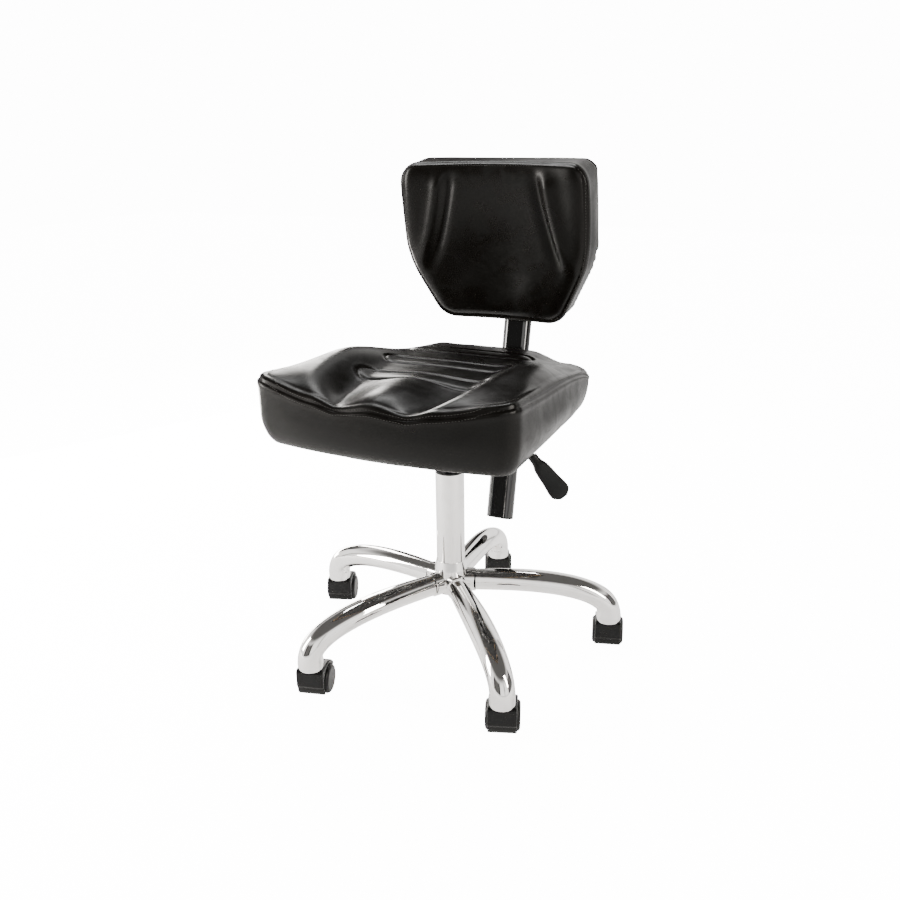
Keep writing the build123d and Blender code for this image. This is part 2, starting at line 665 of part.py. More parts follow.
def make_post_head():
    """Two ears and a saddle plate welded to the front of the post."""
    reach = HINGE_FORWARD - POST_D / 2
    saddle_w = 2 * (HEAD_EAR_IN + HEAD_EAR_T)
    saddle = Pos(0, reach - 1.5, 0) * Box(saddle_w, 3, 2 * HINGE_EYE_R)
    body = saddle
    for side in (-1, 1):
        middle = side * (HEAD_EAR_IN + HEAD_EAR_T / 2)
        ear = Pos(middle, 0, 0) * cross_rod(HINGE_EYE_R, HEAD_EAR_T / 2)
        ear += Pos(middle, reach / 2, 0) * Box(HEAD_EAR_T, reach, 2 * HINGE_EYE_R)
        body += ear
    body -= cross_rod(HINGE_BOLT_R + FIT, 60)
    return hinge_frame() * body


def make_hinge_bolt():
    """Bolt with its head, its nut and two friction washers."""
    outer = HEAD_EAR_IN + HEAD_EAR_T
    bolt = cross_rod(HINGE_BOLT_R, outer + 9)
    hexagon = Rot(0, 90, 0) * extrude(RegularPolygon(7, 6), 6)
    bolt += Pos(-outer - 6, 0, 0) * hexagon
    nut = Pos(outer, 0, 0) * hexagon - cross_rod(HINGE_BOLT_R + FIT, 60)
    washer = cross_rod(HINGE_EYE_R - 1, WASHER_T / 2) - cross_rod(HINGE_BOLT_R + FIT, 5)
    gap_middle = HEAD_EAR_IN - WASHER_T / 2
    washers = [Pos(side * gap_middle, 0, 0) * washer for side in (-1, 1)]
    return [hinge_frame() * piece for piece in [bolt, nut] + washers]


def hinge_in_back():
    """The hinge axis in the back's own frame, as (y, z)."""
    place = (BACK_FRAME.inverse() * hinge_frame()).position
    return place.Y, place.Z


def make_back_plate():
    """A plate on the back's board with two ears that run back to the hinge."""
    hinge_y, hinge_z = hinge_in_back()
    front = BACK_FOAM_T + BACK_BOARD_T
    plate = Pos(0, front + SHEET_T / 2, hinge_z) * Box(BACK_PLATE_W, SHEET_T, BACK_PLATE_H)
    drill = Rot(90, 0, 0) * Cylinder(SCREW_R + 0.3, 40)
    for x, z in back_screw_places():
        plate -= Pos(x, front, z) * drill
    reach = hinge_y - front
    ear_middle = HEAD_EAR_IN - WASHER_T - RUN - BACK_EAR_T / 2
    for side in (-1, 1):
        ear = Pos(side * ear_middle, hinge_y, hinge_z) * cross_rod(HINGE_EYE_R, BACK_EAR_T / 2)
        arm = Pos(side * ear_middle, front + reach / 2, hinge_z) * Box(BACK_EAR_T, reach, 2 * HINGE_EYE_R)
        plate += ear + arm
    plate -= Pos(0, hinge_y, hinge_z) * cross_rod(HINGE_BOLT_R + RUN, 60)
    return BACK_FRAME * plate


def back_screw_places():
    _, hinge_z = hinge_in_back()
    half_x, half_z = BACK_SCREW_X / 2, BACK_SCREW_Z / 2
    return [(x, hinge_z + z) for x in (-half_x, half_x) for z in (-half_z, half_z)]


def make_back_screws():
    """Pan-head screws through the plate into the board."""
    under_head = BACK_FOAM_T + BACK_BOARD_T + SHEET_T
    screw = Cylinder(SCREW_HEAD_R, SCREW_HEAD_T, align=MIDDLE_BOTTOM)
    screw += Pos(0, 0, -SCREW_LENGTH) * Cylinder(SCREW_R, SCREW_LENGTH, align=MIDDLE_BOTTOM)
    turned = Rot(-90, 0, 0) * screw
    return [BACK_FRAME * Pos(x, under_head, z) * turned for x, z in back_screw_places()]


# ---------------------------------------------------------------- back pad
def back_outline(inset):
    """Front view of the pad: narrow below, wide from the shoulders up."""
    half = [
        (BACK_BOTTOM_HALF_W, 0),
        (BACK_SHOULDER_HALF_W, BACK_SHOULDER_Z),
        (BACK_TOP_HALF_W, BACK_HEIGHT),
    ]
    points = half + [(-x, z) for x, z in reversed(half)]
    face = Plane.XZ * Polygon(*points, align=None)
    face = fillet(face.vertices(), BACK_CORNER_R)
    return offset(face, -inset) if inset else face


def back_slab(inset, front, rear):
    """The pad's outline between two depths behind the front seam."""
    return Pos(0, rear, 0) * extrude(back_outline(inset), rear - front)


def make_back_cushion():
    """The padded front and sides, with a pocket behind for the board and the rear cover."""
    body = back_slab(0, -BACK_WING, BACK_PAD_T)
    reach = BACK_TOP_HALF_W
    hollow_r = (reach ** 2 + BACK_WING ** 2) / (2 * BACK_WING)
    hollow = Pos(0, -hollow_r, 0) * Cylinder(hollow_r, 900)
    pocket = back_slab(BACK_BOARD_INSET - SOFT_GAP, BACK_FOAM_T - SOFT_GAP, BACK_PAD_T + 1)
    return BACK_FRAME * (body - hollow - pocket)


def make_back_board():
    board = back_slab(BACK_BOARD_INSET, BACK_FOAM_T, BACK_FOAM_T + BACK_BOARD_T)
    for x, z in back_screw_places():
        board -= Pos(x, BACK_FOAM_T, z) * Rot(90, 0, 0) * Cylinder(SCREW_R + FIT, 60)
    return BACK_FRAME * board


def make_back_shell():
    """A hollow rear cover over the board, open behind the hinge plate."""
    _, hinge_z = hinge_in_back()
    front = BACK_FOAM_T + BACK_BOARD_T
    rear = front + BACK_SHELL_T
    pan = back_slab(BACK_BOARD_INSET, front, rear)
    pan = fillet(pan.faces().sort_by(Axis.Y)[-1].edges(), 5)
    pan -= back_slab(BACK_BOARD_INSET + BACK_SHELL_WALL, front - 1, rear - BACK_SHELL_WALL)
    window = Box(BACK_PLATE_W + 4, 60, BACK_PLATE_H + 4)
    return BACK_FRAME * (pan - Pos(0, rear, hinge_z) * window)


# ---------------------------------------------------------------- casters
def make_caster_hood():
    """Web, wheel arches and flat top; the wheels run in the arches at each side."""
    width = 2 * HOOD_HALF_W
    axle = Pos(CASTER_TRAIL, 0, WHEEL_R) * Rot(90, 0, 0)
    top_l = CASTER_TRAIL - HOOD_FRONT
    shoulder = Pos(HOOD_FRONT + top_l / 2, 0, 0) * block(top_l, width, WHEEL_R, HOOD_TOP_Z)
    brow = shoulder.edges().filter_by(Axis.Y).group_by(Axis.X)[0].sort_by(Axis.Z)[-1]
    body = fillet(brow, 6) + axle * Cylinder(HOOD_R, width)
    body -= Pos(0, 0, HOOD_FOOT_Z) * Box(400, 400, 200, align=(Align.CENTER, Align.CENTER, Align.MAX))
    rear_low = Pos(CASTER_TRAIL + WHEEL_INNER, 0, HOOD_REAR_Z)
    body -= rear_low * Box(100, 100, 100, align=(Align.MIN, Align.CENTER, Align.MAX))
    arch_t = HOOD_HALF_W - HOOD_WEB_HALF + 1
    for side in (-1, 1):
        middle = side * (HOOD_WEB_HALF + arch_t / 2)
        body -= Pos(0, middle, 0) * axle * Cylinder(HOOD_INNER_R, arch_t)
    body -= axle * Cylinder(AXLE_R + FIT, width)
    return body - rod(STEM_R + RUN, STEM_BOTTOM_Z - 0.3, HOOD_TOP_Z + 1)


def make_caster_axle():
    return Pos(CASTER_TRAIL, 0, WHEEL_R) * Rot(90, 0, 0) * Cylinder(AXLE_R, 2 * AXLE_HALF)


def make_caster_wheel(side):
    """A wheel with a domed outer face and a ring-shaped recess in its inner one."""
    width = WHEEL_OUTER - WHEEL_INNER
    disc = Cylinder(WHEEL_R, width, align=MIDDLE_BOTTOM)
    disc = fillet(disc.faces().sort_by(Axis.Z)[-1].edges(), 6)
    disc = fillet(disc.faces().sort_by(Axis.Z)[0].edges(), 1.5)
    disc -= ring(WHEEL_R - 5, AXLE_R + 4, -1, width / 2)
    disc -= rod(AXLE_R + RUN, -1, AXLE_HALF - WHEEL_INNER + 0.5)
    facing = Rot(-90, 0, 0) if side > 0 else Rot(90, 0, 0)
    return Pos(CASTER_TRAIL, side * WHEEL_INNER, WHEEL_R) * facing * disc


# ---------------------------------------------------------------- assembly
def build_nodes():
    """Every node's name and its solid or list of solids."""
    nodes = {
        "hub": make_hub(),
        "stem_sockets": make_stem_sockets(),
        "caster_stems": make_caster_stems(),
        "column_tube": make_column_tube(),
        "guide_bush": make_guide_bush(),
        "thrust_bearing": make_thrust_bearing(),
        "piston_rod": make_piston_rod(),
        "retaining_clip": make_retaining_clip(),
        "gas_cylinder": make_gas_cylinder(),
        "release_pin": make_release_pin(),
        "taper_housing": make_taper_housing(),
        "mechanism_plate": make_mechanism_plate(),
        "lever_pin": make_lever_pin(),
        "lever_rod": make_lever_rod(),
        "lever_paddle": make_lever_paddle(),
        "seat_bolts": make_seat_bolts(),
        "bracket_bolts": make_bracket_bolts(),
        "tee_nuts": make_tee_nuts(),
        "seat_board": make_seat_board(),
        "seat_under_cover": make_seat_under_cover(),
        "seat_cushion": make_seat_cushion(),
        "back_bracket": make_back_bracket(),
        "post_sleeve": make_post_sleeve(),
        "sleeve_liner": make_sleeve_liner(),
        "clamp_screw": make_clamp_screw(),
        "clamp_knob": make_clamp_knob(),
        "post_tube": make_post_tube(),
        "post_caps": make_post_caps(),
        "post_head": make_post_head(),
        "hinge_bolt": make_hinge_bolt(),
        "back_plate": make_back_plate(),
        "back_screws": make_back_screws(),
        "back_board": make_back_board(),
        "back_cushion": make_back_cushion(),
        "back_shell": make_back_shell(),
    }
    arm = make_arm()
    hood = make_caster_hood()
    axle = make_caster_axle()
    wheel_left = make_caster_wheel(1)
    wheel_right = make_caster_wheel(-1)
    for index in range(ARM_COUNT):
        number = index + 1
        stem = at_stem(index)
        nodes[f"arm_{number}"] = at_arm(index) * arm
        nodes[f"caster_hood_{number}"] = stem * hood
        nodes[f"caster_axle_{number}"] = stem * axle
        nodes[f"wheel_left_{number}"] = stem * wheel_left
        nodes[f"wheel_right_{number}"] = stem * wheel_right
    return nodes


def main():
    os.makedirs("parts", exist_ok=True)
    for name, shape in build_nodes().items():
        whole = Compound(children=shape) if isinstance(shape, list) else shape
        export_step(whole, f"parts/{name}.step")


main()
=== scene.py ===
"""Looks of a rolling salon stool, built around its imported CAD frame.

Metres, +Z up, the seat faces -Y and the sitter's left is +X. The two cushions, the lever's grip
and the caster hoods are modelled here and replace their CAD nodes; every other node keeps its
shape and gets its finish.
"""

import logging
import math
from dataclasses import dataclass, field
from enum import Enum
from typing import Any, Callable, Dict, List, Optional, Sequence, Tuple, Union

import bpy
import numpy as np
from mathutils import Matrix, Vector
from mathutils.bvhtree import BVHTree


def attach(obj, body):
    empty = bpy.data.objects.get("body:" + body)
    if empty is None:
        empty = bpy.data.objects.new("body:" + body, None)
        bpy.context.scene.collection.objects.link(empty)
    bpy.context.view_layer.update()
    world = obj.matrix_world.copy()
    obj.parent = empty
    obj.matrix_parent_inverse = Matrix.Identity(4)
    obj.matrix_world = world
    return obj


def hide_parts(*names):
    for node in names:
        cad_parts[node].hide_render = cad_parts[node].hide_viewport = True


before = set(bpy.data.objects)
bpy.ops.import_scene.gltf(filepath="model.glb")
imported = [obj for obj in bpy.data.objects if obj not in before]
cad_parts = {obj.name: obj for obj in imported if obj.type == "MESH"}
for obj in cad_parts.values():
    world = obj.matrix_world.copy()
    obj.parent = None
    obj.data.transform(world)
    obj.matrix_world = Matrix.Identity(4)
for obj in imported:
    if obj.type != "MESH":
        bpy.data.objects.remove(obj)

LOG = logging.getLogger("stool")
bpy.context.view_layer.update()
MM = 0.001
Colour = Tuple[float, float, float, float]
Knots = Sequence[Tuple[float, float]]


# ------------------------------------------------------------------ numbers and curves
def smoothstep(value: np.ndarray, low: float, high: float) -> np.ndarray:
    """Ease a value from 0 at low to 1 at high.

    Args:
        value: numbers to ease.
        low: where the result leaves 0.
        high: where the result reaches 1.

    Returns:
        The eased numbers.
    """
    t = np.clip((value - low) / (high - low), 0.0, 1.0)
    return t * t * (3.0 - 2.0 * t)


def bell(value: np.ndarray, width: float) -> np.ndarray:
    """A bell of height 1 round zero, of that half width."""
    return np.exp(-((value / width) ** 2))


class Profile:
    """A smooth curve through knots, held level beyond its ends."""

    def __init__(self, knots: Knots) -> None:
        """Keep the knots and the slope at each.

        Args:
            knots: pairs of place and height, in rising order of place.
        """
        pairs = np.array(knots, float)
        self.at, self.height = pairs[:, 0], pairs[:, 1]
        self.slope = np.gradient(self.height, self.at)

    def __call__(self, place: np.ndarray) -> np.ndarray:
        """Read the curve.

        Args:
            place: where to read it.

        Returns:
            The curve's heights there.
        """
        x = np.clip(place, self.at[0], self.at[-1])
        i = np.clip(np.searchsorted(self.at, x) - 1, 0, len(self.at) - 2)
        step = self.at[i + 1] - self.at[i]
        t = (x - self.at[i]) / step
        h00 = (1 + 2 * t) * (1 - t) ** 2
        h10 = t * (1 - t) ** 2
        h01 = t * t * (3 - 2 * t)
        h11 = t * t * (t - 1)
        return (h00 * self.height[i] + h10 * step * self.slope[i]
                + h01 * self.height[i + 1] + h11 * step * self.slope[i + 1])


# ------------------------------------------------------------------ shader writing
class Wire:
    """A shader socket or a number that takes part in Python sums."""

    def __init__(self, shader: "Shader", source: Any) -> None:
        """Keep the socket and the shader that it belongs to."""
        self.shader = shader
        self.source = source

    def combine(self, operation: str, *others: Any) -> "Wire":
        """Add one Math node on this value and the others."""
        return self.shader.add("ShaderNodeMath", {"operation": operation}, [self, *others])

    def __add__(self, other: Any) -> "Wire":
        """Sum."""
        return self.combine("ADD", other)

    def __mul__(self, other: Any) -> "Wire":
        """Product."""
        return self.combine("MULTIPLY", other)

    def __sub__(self, other: Any) -> "Wire":
        """Difference."""
        return self.combine("SUBTRACT", other)

    def __rsub__(self, other: Any) -> "Wire":
        """Reflected difference."""
        return Wire(self.shader, other).combine("SUBTRACT", self)

    __radd__ = __add__
    __rmul__ = __mul__

    def sine(self) -> "Wire":
        """Sine of the value."""
        return self.combine("SINE")

    def ease(self, low: float, high: float) -> "Wire":
        """Ease the value from 0 at low to 1 at high.

        Args:
            low: where the result leaves 0.
            high: where the result reaches 1.

        Returns:
            The eased value.
        """
        settings = {"interpolation_type": "SMOOTHSTEP"}
        return self.shader.add("ShaderNodeMapRange", settings,
                               {"Value": self, "From Min": low, "From Max": high})


Value = Union[Wire, float, Colour, Sequence[float]]


class Shader:
    """One node tree, written as expressions.

    A Mix node's sockets share their names, so they are known by number.
    """

    MIX_FACTOR, MIX_LOW, MIX_HIGH, MIX_RESULT = 0, 6, 7, 2

    def __init__(self, tree: bpy.types.NodeTree) -> None:
        """Empty the tree and keep it.

        Args:
            tree: the node tree of a material or a world.
        """
        self.tree = tree
        tree.nodes.clear()

    def add(self, kind: str, settings: Optional[Dict[str, Any]] = None,
            inputs: Union[Dict[Any, Any], Sequence[Any], None] = None, out: Any = 0) -> Wire:
        """Add one node.

        Args:
            kind: the node's type name.
            settings: properties that are set before any value.
            inputs: values or wires, by socket name or number, or in socket order.
            out: name or number of the output to return.

        Returns:
            The chosen output.
        """
        node = self.tree.nodes.new(kind)
        for name, value in (settings or {}).items():
            setattr(node, name, value)
        pairs = inputs.items() if isinstance(inputs, dict) else enumerate(inputs or [])
        for name, value in pairs:
            source = value.source if isinstance(value, Wire) else value
            if isinstance(source, bpy.types.NodeSocket):
                self.tree.links.new(source, node.inputs[name])
            else:
                node.inputs[name].default_value = source
        return Wire(self, node.outputs[out] if node.outputs else None)

    def place(self, scale: Sequence[float] = (1, 1, 1)) -> Wire:
        """Object coordinates, stretched.

        Args:
            scale: stretch along each axis.

        Returns:
            The coordinates.
        """
        coords = self.add("ShaderNodeTexCoord", out="Object")
        return self.add("ShaderNodeMapping", {}, {"Vector": coords, "Scale": scale})

    def noise(self, scale: float, detail: float = 2.0, stretch: Sequence[float] = (1, 1, 1),
              distortion: float = 0.0) -> Wire:
        """Cloudy noise on Object coordinates.

        Args:
            scale: features to a metre.
            detail: finer layers.
            stretch: stretch along each axis.
            distortion: how much it swirls.

        Returns:
            A value round 0.5.
        """
        return self.add("ShaderNodeTexNoise", {}, {
            "Vector": self.place(stretch), "Scale": scale, "Detail": detail,
            "Roughness": 0.55, "Distortion": distortion})

    def cells(self, scale: float) -> Wire:
        """Pebble-like cells on Object coordinates.

        Args:
            scale: cells to a metre.

        Returns:
            Distance from the middle of a cell.
        """
        return self.add("ShaderNodeTexVoronoi", {}, {"Vector": self.place(), "Scale": scale})

    def blend(self, factor: Value, low: Value, high: Value) -> Wire:
        """Mix two colours.

        Args:
            factor: share of the second.
            low: first colour.
            high: second colour.

        Returns:
            The mixed colour.
        """
        return self.add("ShaderNodeMix", {"data_type": "RGBA"},
                        {self.MIX_FACTOR: factor, self.MIX_LOW: low, self.MIX_HIGH: high},
                        self.MIX_RESULT)

    def bump(self, height: Wire, strength: float, depth: float,
             under: Optional[Wire] = None) -> Wire:
        """Turn a height into a normal.

        Args:
            height: the height.
            strength: share of the effect.
            depth: metres between height 0 and 1.
            under: a normal to build on.

        Returns:
            The normal.
        """
        inputs = {"Height": height, "Strength": strength, "Distance": depth}
        if under is not None:
            inputs["Normal"] = under
        return self.add("ShaderNodeBump", {}, inputs, "Normal")

    def surface(self, sockets: Dict[str, Value]) -> None:
        """End the tree in a Principled shader.

        Args:
            sockets: values or wires for the shader's sockets.
        """
        shader = self.add("ShaderNodeBsdfPrincipled", {}, sockets)
        self.add("ShaderNodeOutputMaterial", {}, {"Surface": shader})


@dataclass(frozen=True)
class Finish:
    """A finish: its name, its two tones, and how rough it is."""

    name: str
    tone: Colour
    light_tone: Colour
    roughness: float

    def write(self, shader: Shader) -> None:
        """Write the finish's nodes; each kind of finish does this its own way."""
        raise NotImplementedError

    def material(self) -> bpy.types.Material:
        """Make the material.

        Returns:
            The material.
        """
        made = bpy.data.materials.new(self.name)
        made.use_nodes = True
        self.write(Shader(made.node_tree))
        made.diffuse_color = self.tone
        return made


@dataclass(frozen=True)
class Vinyl(Finish):
    """Upholstery vinyl: pebble grain, soft creasing, and polish worn unevenly."""

    grain: float = 620.0

    def write(self, shader: Shader) -> None:
        """Write the vinyl's nodes."""
        pebbles = shader.cells(self.grain)
        pores = shader.noise(self.grain * 1.9, 3.0)
        clouds = shader.noise(9.0, 3.0, distortion=0.6)
        handled = shader.noise(31.0, 4.0, distortion=1.2).ease(0.35, 0.75)
        shade = clouds * 0.6 + pores * 0.25 + pebbles * 0.15
        skin = shader.bump(pebbles * 0.7 + pores * 0.3, strength=0.10, depth=0.00006)
        skin = shader.bump(shader.noise(24.0, 1.0), strength=0.15, depth=0.0010, under=skin)
        shader.surface({
            "Base Color": shader.blend(shade, self.tone, self.light_tone),
            "Roughness": self.roughness + handled * 0.10 + clouds * 0.06,
            "Specular IOR Level": 0.15,
            "Normal": skin})


@dataclass(frozen=True)
class Chrome(Finish):
    """Bright plated steel with faint polishing haze and finger smears."""

    def write(self, shader: Shader) -> None:
        """Write the chrome's nodes."""
        haze = shader.noise(42.0, 4.0, distortion=0.7).ease(0.45, 0.8)
        lines = shader.noise(240.0, 2.0, stretch=(1, 1, 0.06))
        shader.surface({
            "Base Color": shader.blend(haze, self.light_tone, self.tone),
            "Metallic": 1.0,
            "Roughness": self.roughness + haze * 0.035 + lines * 0.02,
            "Normal": shader.bump(shader.noise(30.0, 1.0), strength=0.05, depth=0.0006)})


@dataclass(frozen=True)
class Enamel(Finish):
    """Gloss stove enamel with a trace of orange peel and settled dust."""

    def write(self, shader: Shader) -> None:
        """Write the enamel's nodes."""
        peel = shader.noise(260.0, 2.0)
        dust = shader.noise(70.0, 5.0).ease(0.55, 0.85)
        shader.surface({
            "Base Color": shader.blend(dust, self.tone, self.light_tone),
            "Roughness": self.roughness + dust * 0.12,
            "Coat Weight": 0.6,
            "Coat Roughness": 0.06,
            "Normal": shader.bump(peel, strength=0.08, depth=0.0003)})


@dataclass(frozen=True)
class Moulding(Finish):
    """Spark-textured moulded plastic, rubbed a little smoother in patches."""

    texture: float = 1500.0

    def write(self, shader: Shader) -> None:
        """Write the plastic's nodes."""
        spark = shader.noise(self.texture, 2.0)
        rubbed = shader.noise(55.0, 3.0).ease(0.4, 0.7)
        shader.surface({
            "Base Color": shader.blend(spark * 0.6 + rubbed * 0.3, self.tone, self.light_tone),
            "Roughness": self.roughness + spark * 0.08 - rubbed * 0.09,
            "Specular IOR Level": 0.22,
            "Normal": shader.bump(spark, strength=0.28, depth=0.00018)})


@dataclass(frozen=True)
class Tread(Finish):
    """Wheel nylon: scuffs in patches, paler and duller, over a fine spark texture."""

    def write(self, shader: Shader) -> None:
        """Write the wheel's nodes."""
        scuffs = shader.noise(210.0, 5.0, distortion=2.0).ease(0.56, 0.7)
        spark = shader.noise(1300.0, 2.0)
        shader.surface({
            "Base Color": shader.blend(scuffs * 0.7, self.tone, self.light_tone),
            "Roughness": self.roughness + scuffs * 0.2 + spark * 0.05,
            "Specular IOR Level": 0.22,
            "Normal": shader.bump(spark + scuffs * 0.4, strength=0.2, depth=0.0002)})


@dataclass(frozen=True)
class PlatedSteel(Finish):
    """Zinc-plated or drawn steel with fine lines along its length."""

    stretch: Tuple[float, float, float] = (1.0, 1.0, 0.04)

    def write(self, shader: Shader) -> None:
        """Write the steel's nodes."""
        lines = shader.noise(520.0, 3.0, stretch=self.stretch)
        spangle = shader.cells(190.0)
        shader.surface({
            "Base Color": shader.blend(spangle * 0.5 + lines * 0.4, self.tone, self.light_tone),
            "Metallic": 1.0,
            "Roughness": self.roughness + lines * 0.14,
            "Normal": shader.bump(lines, strength=0.12, depth=0.0002)})


@dataclass(frozen=True)
class Plywood(Finish):
    """Seat board plies: long grain on the faces, bands on the edges."""

    def write(self, shader: Shader) -> None:
        """Write the plywood's nodes."""
        grain = shader.noise(30.0, 6.0, stretch=(6.0, 0.5, 6.0), distortion=1.4)
        bands = shader.noise(300.0, 1.0, stretch=(0.02, 0.02, 1.0)).ease(0.4, 0.6)
        shader.surface({
            "Base Color": shader.blend(grain * 0.7 + bands * 0.3, self.tone, self.light_tone),
            "Roughness": self.roughness - grain * 0.1,
            "Normal": shader.bump(grain, strength=0.3, depth=0.0004)})


@dataclass(frozen=True)
class Lining(Finish):
    """Spun-bonded dust cloth: matted fibres with a faint point-bond pattern."""

    def write(self, shader: Shader) -> None:
        """Write the lining's nodes."""
        fibres = shader.noise(900.0, 4.0, stretch=(1.0, 0.35, 1.0), distortion=2.0)
        bonds = shader.cells(420.0)
        shader.surface({
            "Base Color": shader.blend(fibres, self.tone, self.light_tone),
            "Roughness": self.roughness + fibres * 0.1,
            "Normal": shader.bump(fibres * 0.7 + bonds * 0.3, strength=0.6, depth=0.0004)})


def grey(level: float, warm: float = 0.0) -> Colour:
    """A grey of that level, turned a little warm."""
    return (level * (1 + warm), level, level * (1 - warm), 1.0)


class Stock(Enum):
    """The finishes that the stool is made in."""

    SEAT_VINYL = Vinyl("seat_vinyl", grey(0.0012, 0.22), grey(0.0034, 0.26), 0.25)
    BACK_VINYL = Vinyl("back_vinyl", grey(0.0012, 0.22), grey(0.0034, 0.26), 0.24)
    THREAD = Lining("bonded_thread", grey(0.012, 0.1), grey(0.03, 0.1), 0.55)
    CHROME = Chrome("bright_chrome", grey(0.84, 0.03), grey(0.96, 0.015), 0.03)
    POST_ENAMEL = Enamel("post_enamel", grey(0.0012), grey(0.004, 0.05), 0.12)
    SHEET_ENAMEL = Enamel("mechanism_enamel", grey(0.003), grey(0.009, 0.05), 0.24)
    PLASTIC = Moulding("satin_plastic", grey(0.0022), grey(0.006), 0.36)
    HOOD_PLASTIC = Moulding("caster_plastic", grey(0.0018), grey(0.005), 0.31)
    WHEEL = Tread("wheel_nylon", grey(0.002), grey(0.010, 0.08), 0.33)
    ZINC = PlatedSteel("zinc_plate", grey(0.42), grey(0.66, 0.01), 0.24)
    GROUND_STEEL = PlatedSteel("ground_rod", grey(0.58), grey(0.76), 0.12)
    PLY = Plywood("birch_ply", (0.36, 0.22, 0.11, 1), (0.58, 0.41, 0.24, 1), 0.62)
    DUST_CLOTH = Lining("dust_cloth", grey(0.006), grey(0.022), 0.82)

    def material(self) -> bpy.types.Material:
        """The finish's material, made once."""
        return bpy.data.materials.get(self.value.name) or self.value.material()


# ------------------------------------------------------------------ modelling bench
class Bench:
    """Blender's tools, used as at a workbench.

    A swollen cushion takes its pressure, its steps, and how its swell is averaged over the mesh
    from here: how many times, and the shares of a point and of its neighbours.
    """

    PRESSURE, FRAMES = 4.0, 20
    PASSES, OWN_SHARE, NEAR_SHARE = 14, 0.4, 0.6

    @staticmethod
    def clear() -> None:
        """Leave edit mode with nothing selected."""
        if bpy.context.object and bpy.context.object.mode != "OBJECT":
            bpy.ops.object.mode_set(mode="OBJECT")
        bpy.ops.object.select_all(action="DESELECT")

    @classmethod
    def hold(cls, piece: bpy.types.Object) -> None:
        """Select one piece alone and make it the active one."""
        cls.clear()
        piece.select_set(True)
        bpy.context.view_layer.objects.active = piece

    @classmethod
    def smooth(cls, piece: bpy.types.Object) -> None:
        """Shade a piece smooth."""
        cls.hold(piece)
        bpy.ops.object.shade_smooth()

    @classmethod
    def block(cls, name: str, low: Vector, high: Vector) -> bpy.types.Object:
        """Start a piece as a block.

        Args:
            name: the piece's name.
            low: its lowest corner.
            high: its highest corner.

        Returns:
            The piece, active and at the origin.
        """
        cls.clear()
        bpy.ops.mesh.primitive_cube_add(size=1.0)
        piece = bpy.context.active_object
        piece.name = name
        middle, size = (low + high) / 2, high - low
        piece.data.transform(Matrix.Translation(middle) @ Matrix.Diagonal((*size, 1.0)))
        return piece

    @staticmethod
    def on_all(operator: Callable[..., Any], **settings: Any) -> None:
        """Run an edit-mode operator on the whole of the active piece.

        Args:
            operator: the operator.
            settings: the operator's settings.
        """
        bpy.ops.object.mode_set(mode="EDIT")
        bpy.ops.mesh.select_all(action="SELECT")
        operator(**settings)
        bpy.ops.object.mode_set(mode="OBJECT")

    @staticmethod
    def pick(piece: bpy.types.Object, kind: str, items: str, test: Callable[[Any], bool]) -> None:
        """Select what passes a test, and enter edit mode.

        Args:
            piece: the piece.
            kind: the select mode.
            items: the mesh's list of such items.
            test: takes an item.
        """
        bpy.ops.object.mode_set(mode="EDIT")
        bpy.ops.mesh.select_mode(type=kind)
        bpy.ops.mesh.select_all(action="DESELECT")
        bpy.ops.object.mode_set(mode="OBJECT")
        for item in getattr(piece.data, items):
            item.select = test(item)
        bpy.ops.object.mode_set(mode="EDIT")

    @classmethod
    def pick_edges(cls, piece: bpy.types.Object, test: Callable[[Vector, Vector], bool]) -> None:
        """Select the edges whose ends pass a test, and enter edit mode.

        Args:
            piece: the piece.
            test: takes an edge's two ends.
        """
        cls.pick(piece, "EDGE", "edges",
                 lambda edge: test(*(piece.data.vertices[i].co for i in edge.vertices)))

    @classmethod
    def pick_faces(cls, piece: bpy.types.Object, test: Callable[[Any], bool]) -> None:
        """Select the faces that pass a test, and enter edit mode."""
        cls.pick(piece, "FACE", "polygons", test)

    @staticmethod
    def finish(piece: bpy.types.Object, kind: str, **settings: Any) -> None:
        """Add a modifier and apply it.

        Args:
            piece: the piece.
            kind: the modifier's type.
            settings: the modifier's settings.
        """
        modifier = piece.modifiers.new(kind.lower(), kind)
        for name, value in settings.items():
            setattr(modifier, name, value)
        bpy.context.view_layer.objects.active = piece
        bpy.ops.object.modifier_apply(modifier=modifier.name)

    @staticmethod
    def read(items: Any, name: str) -> np.ndarray:
        """Read a vector from every item of a mesh's list.

        Args:
            items: the list, such as the points.
            name: the vector's name.

        Returns:
            One vector for each item.
        """
        flat = np.zeros(len(items) * 3)
        items.foreach_get(name, flat)
        return flat.reshape(-1, 3)

    @classmethod
    def points(cls, piece: bpy.types.Object) -> np.ndarray:
        """A mesh's points, in metres."""
        return cls.read(piece.data.vertices, "co")

    @classmethod
    def normals(cls, piece: bpy.types.Object) -> np.ndarray:
        """A mesh's point normals."""
        return cls.read(piece.data.vertices, "normal")

    @staticmethod
    def move_points(piece: bpy.types.Object, points: np.ndarray) -> None:
        """Give a mesh new points."""
        piece.data.vertices.foreach_set("co", points.astype(np.float32).ravel())
        piece.data.update()

    @staticmethod
    def remember(piece: bpy.types.Object, name: str, values: np.ndarray) -> None:
        """Store a vector at every point, to survive subdivision.

        Args:
            piece: the piece.
            name: the attribute's name.
            values: one vector for each point.
        """
        attribute = piece.data.attributes.new(name, "FLOAT_VECTOR", "POINT")
        attribute.data.foreach_set("vector", values.astype(np.float32).ravel())

    @classmethod
    def recall(cls, piece: bpy.types.Object, name: str) -> np.ndarray:
        """Take back what remember stored, and drop it from the mesh.

        Args:
            piece: the piece.
            name: the attribute's name.

        Returns:
            One vector for each point.
        """
        attribute = piece.data.attributes[name]
        values = cls.read(attribute.data, "vector")
        piece.data.attributes.remove(attribute)
        return values

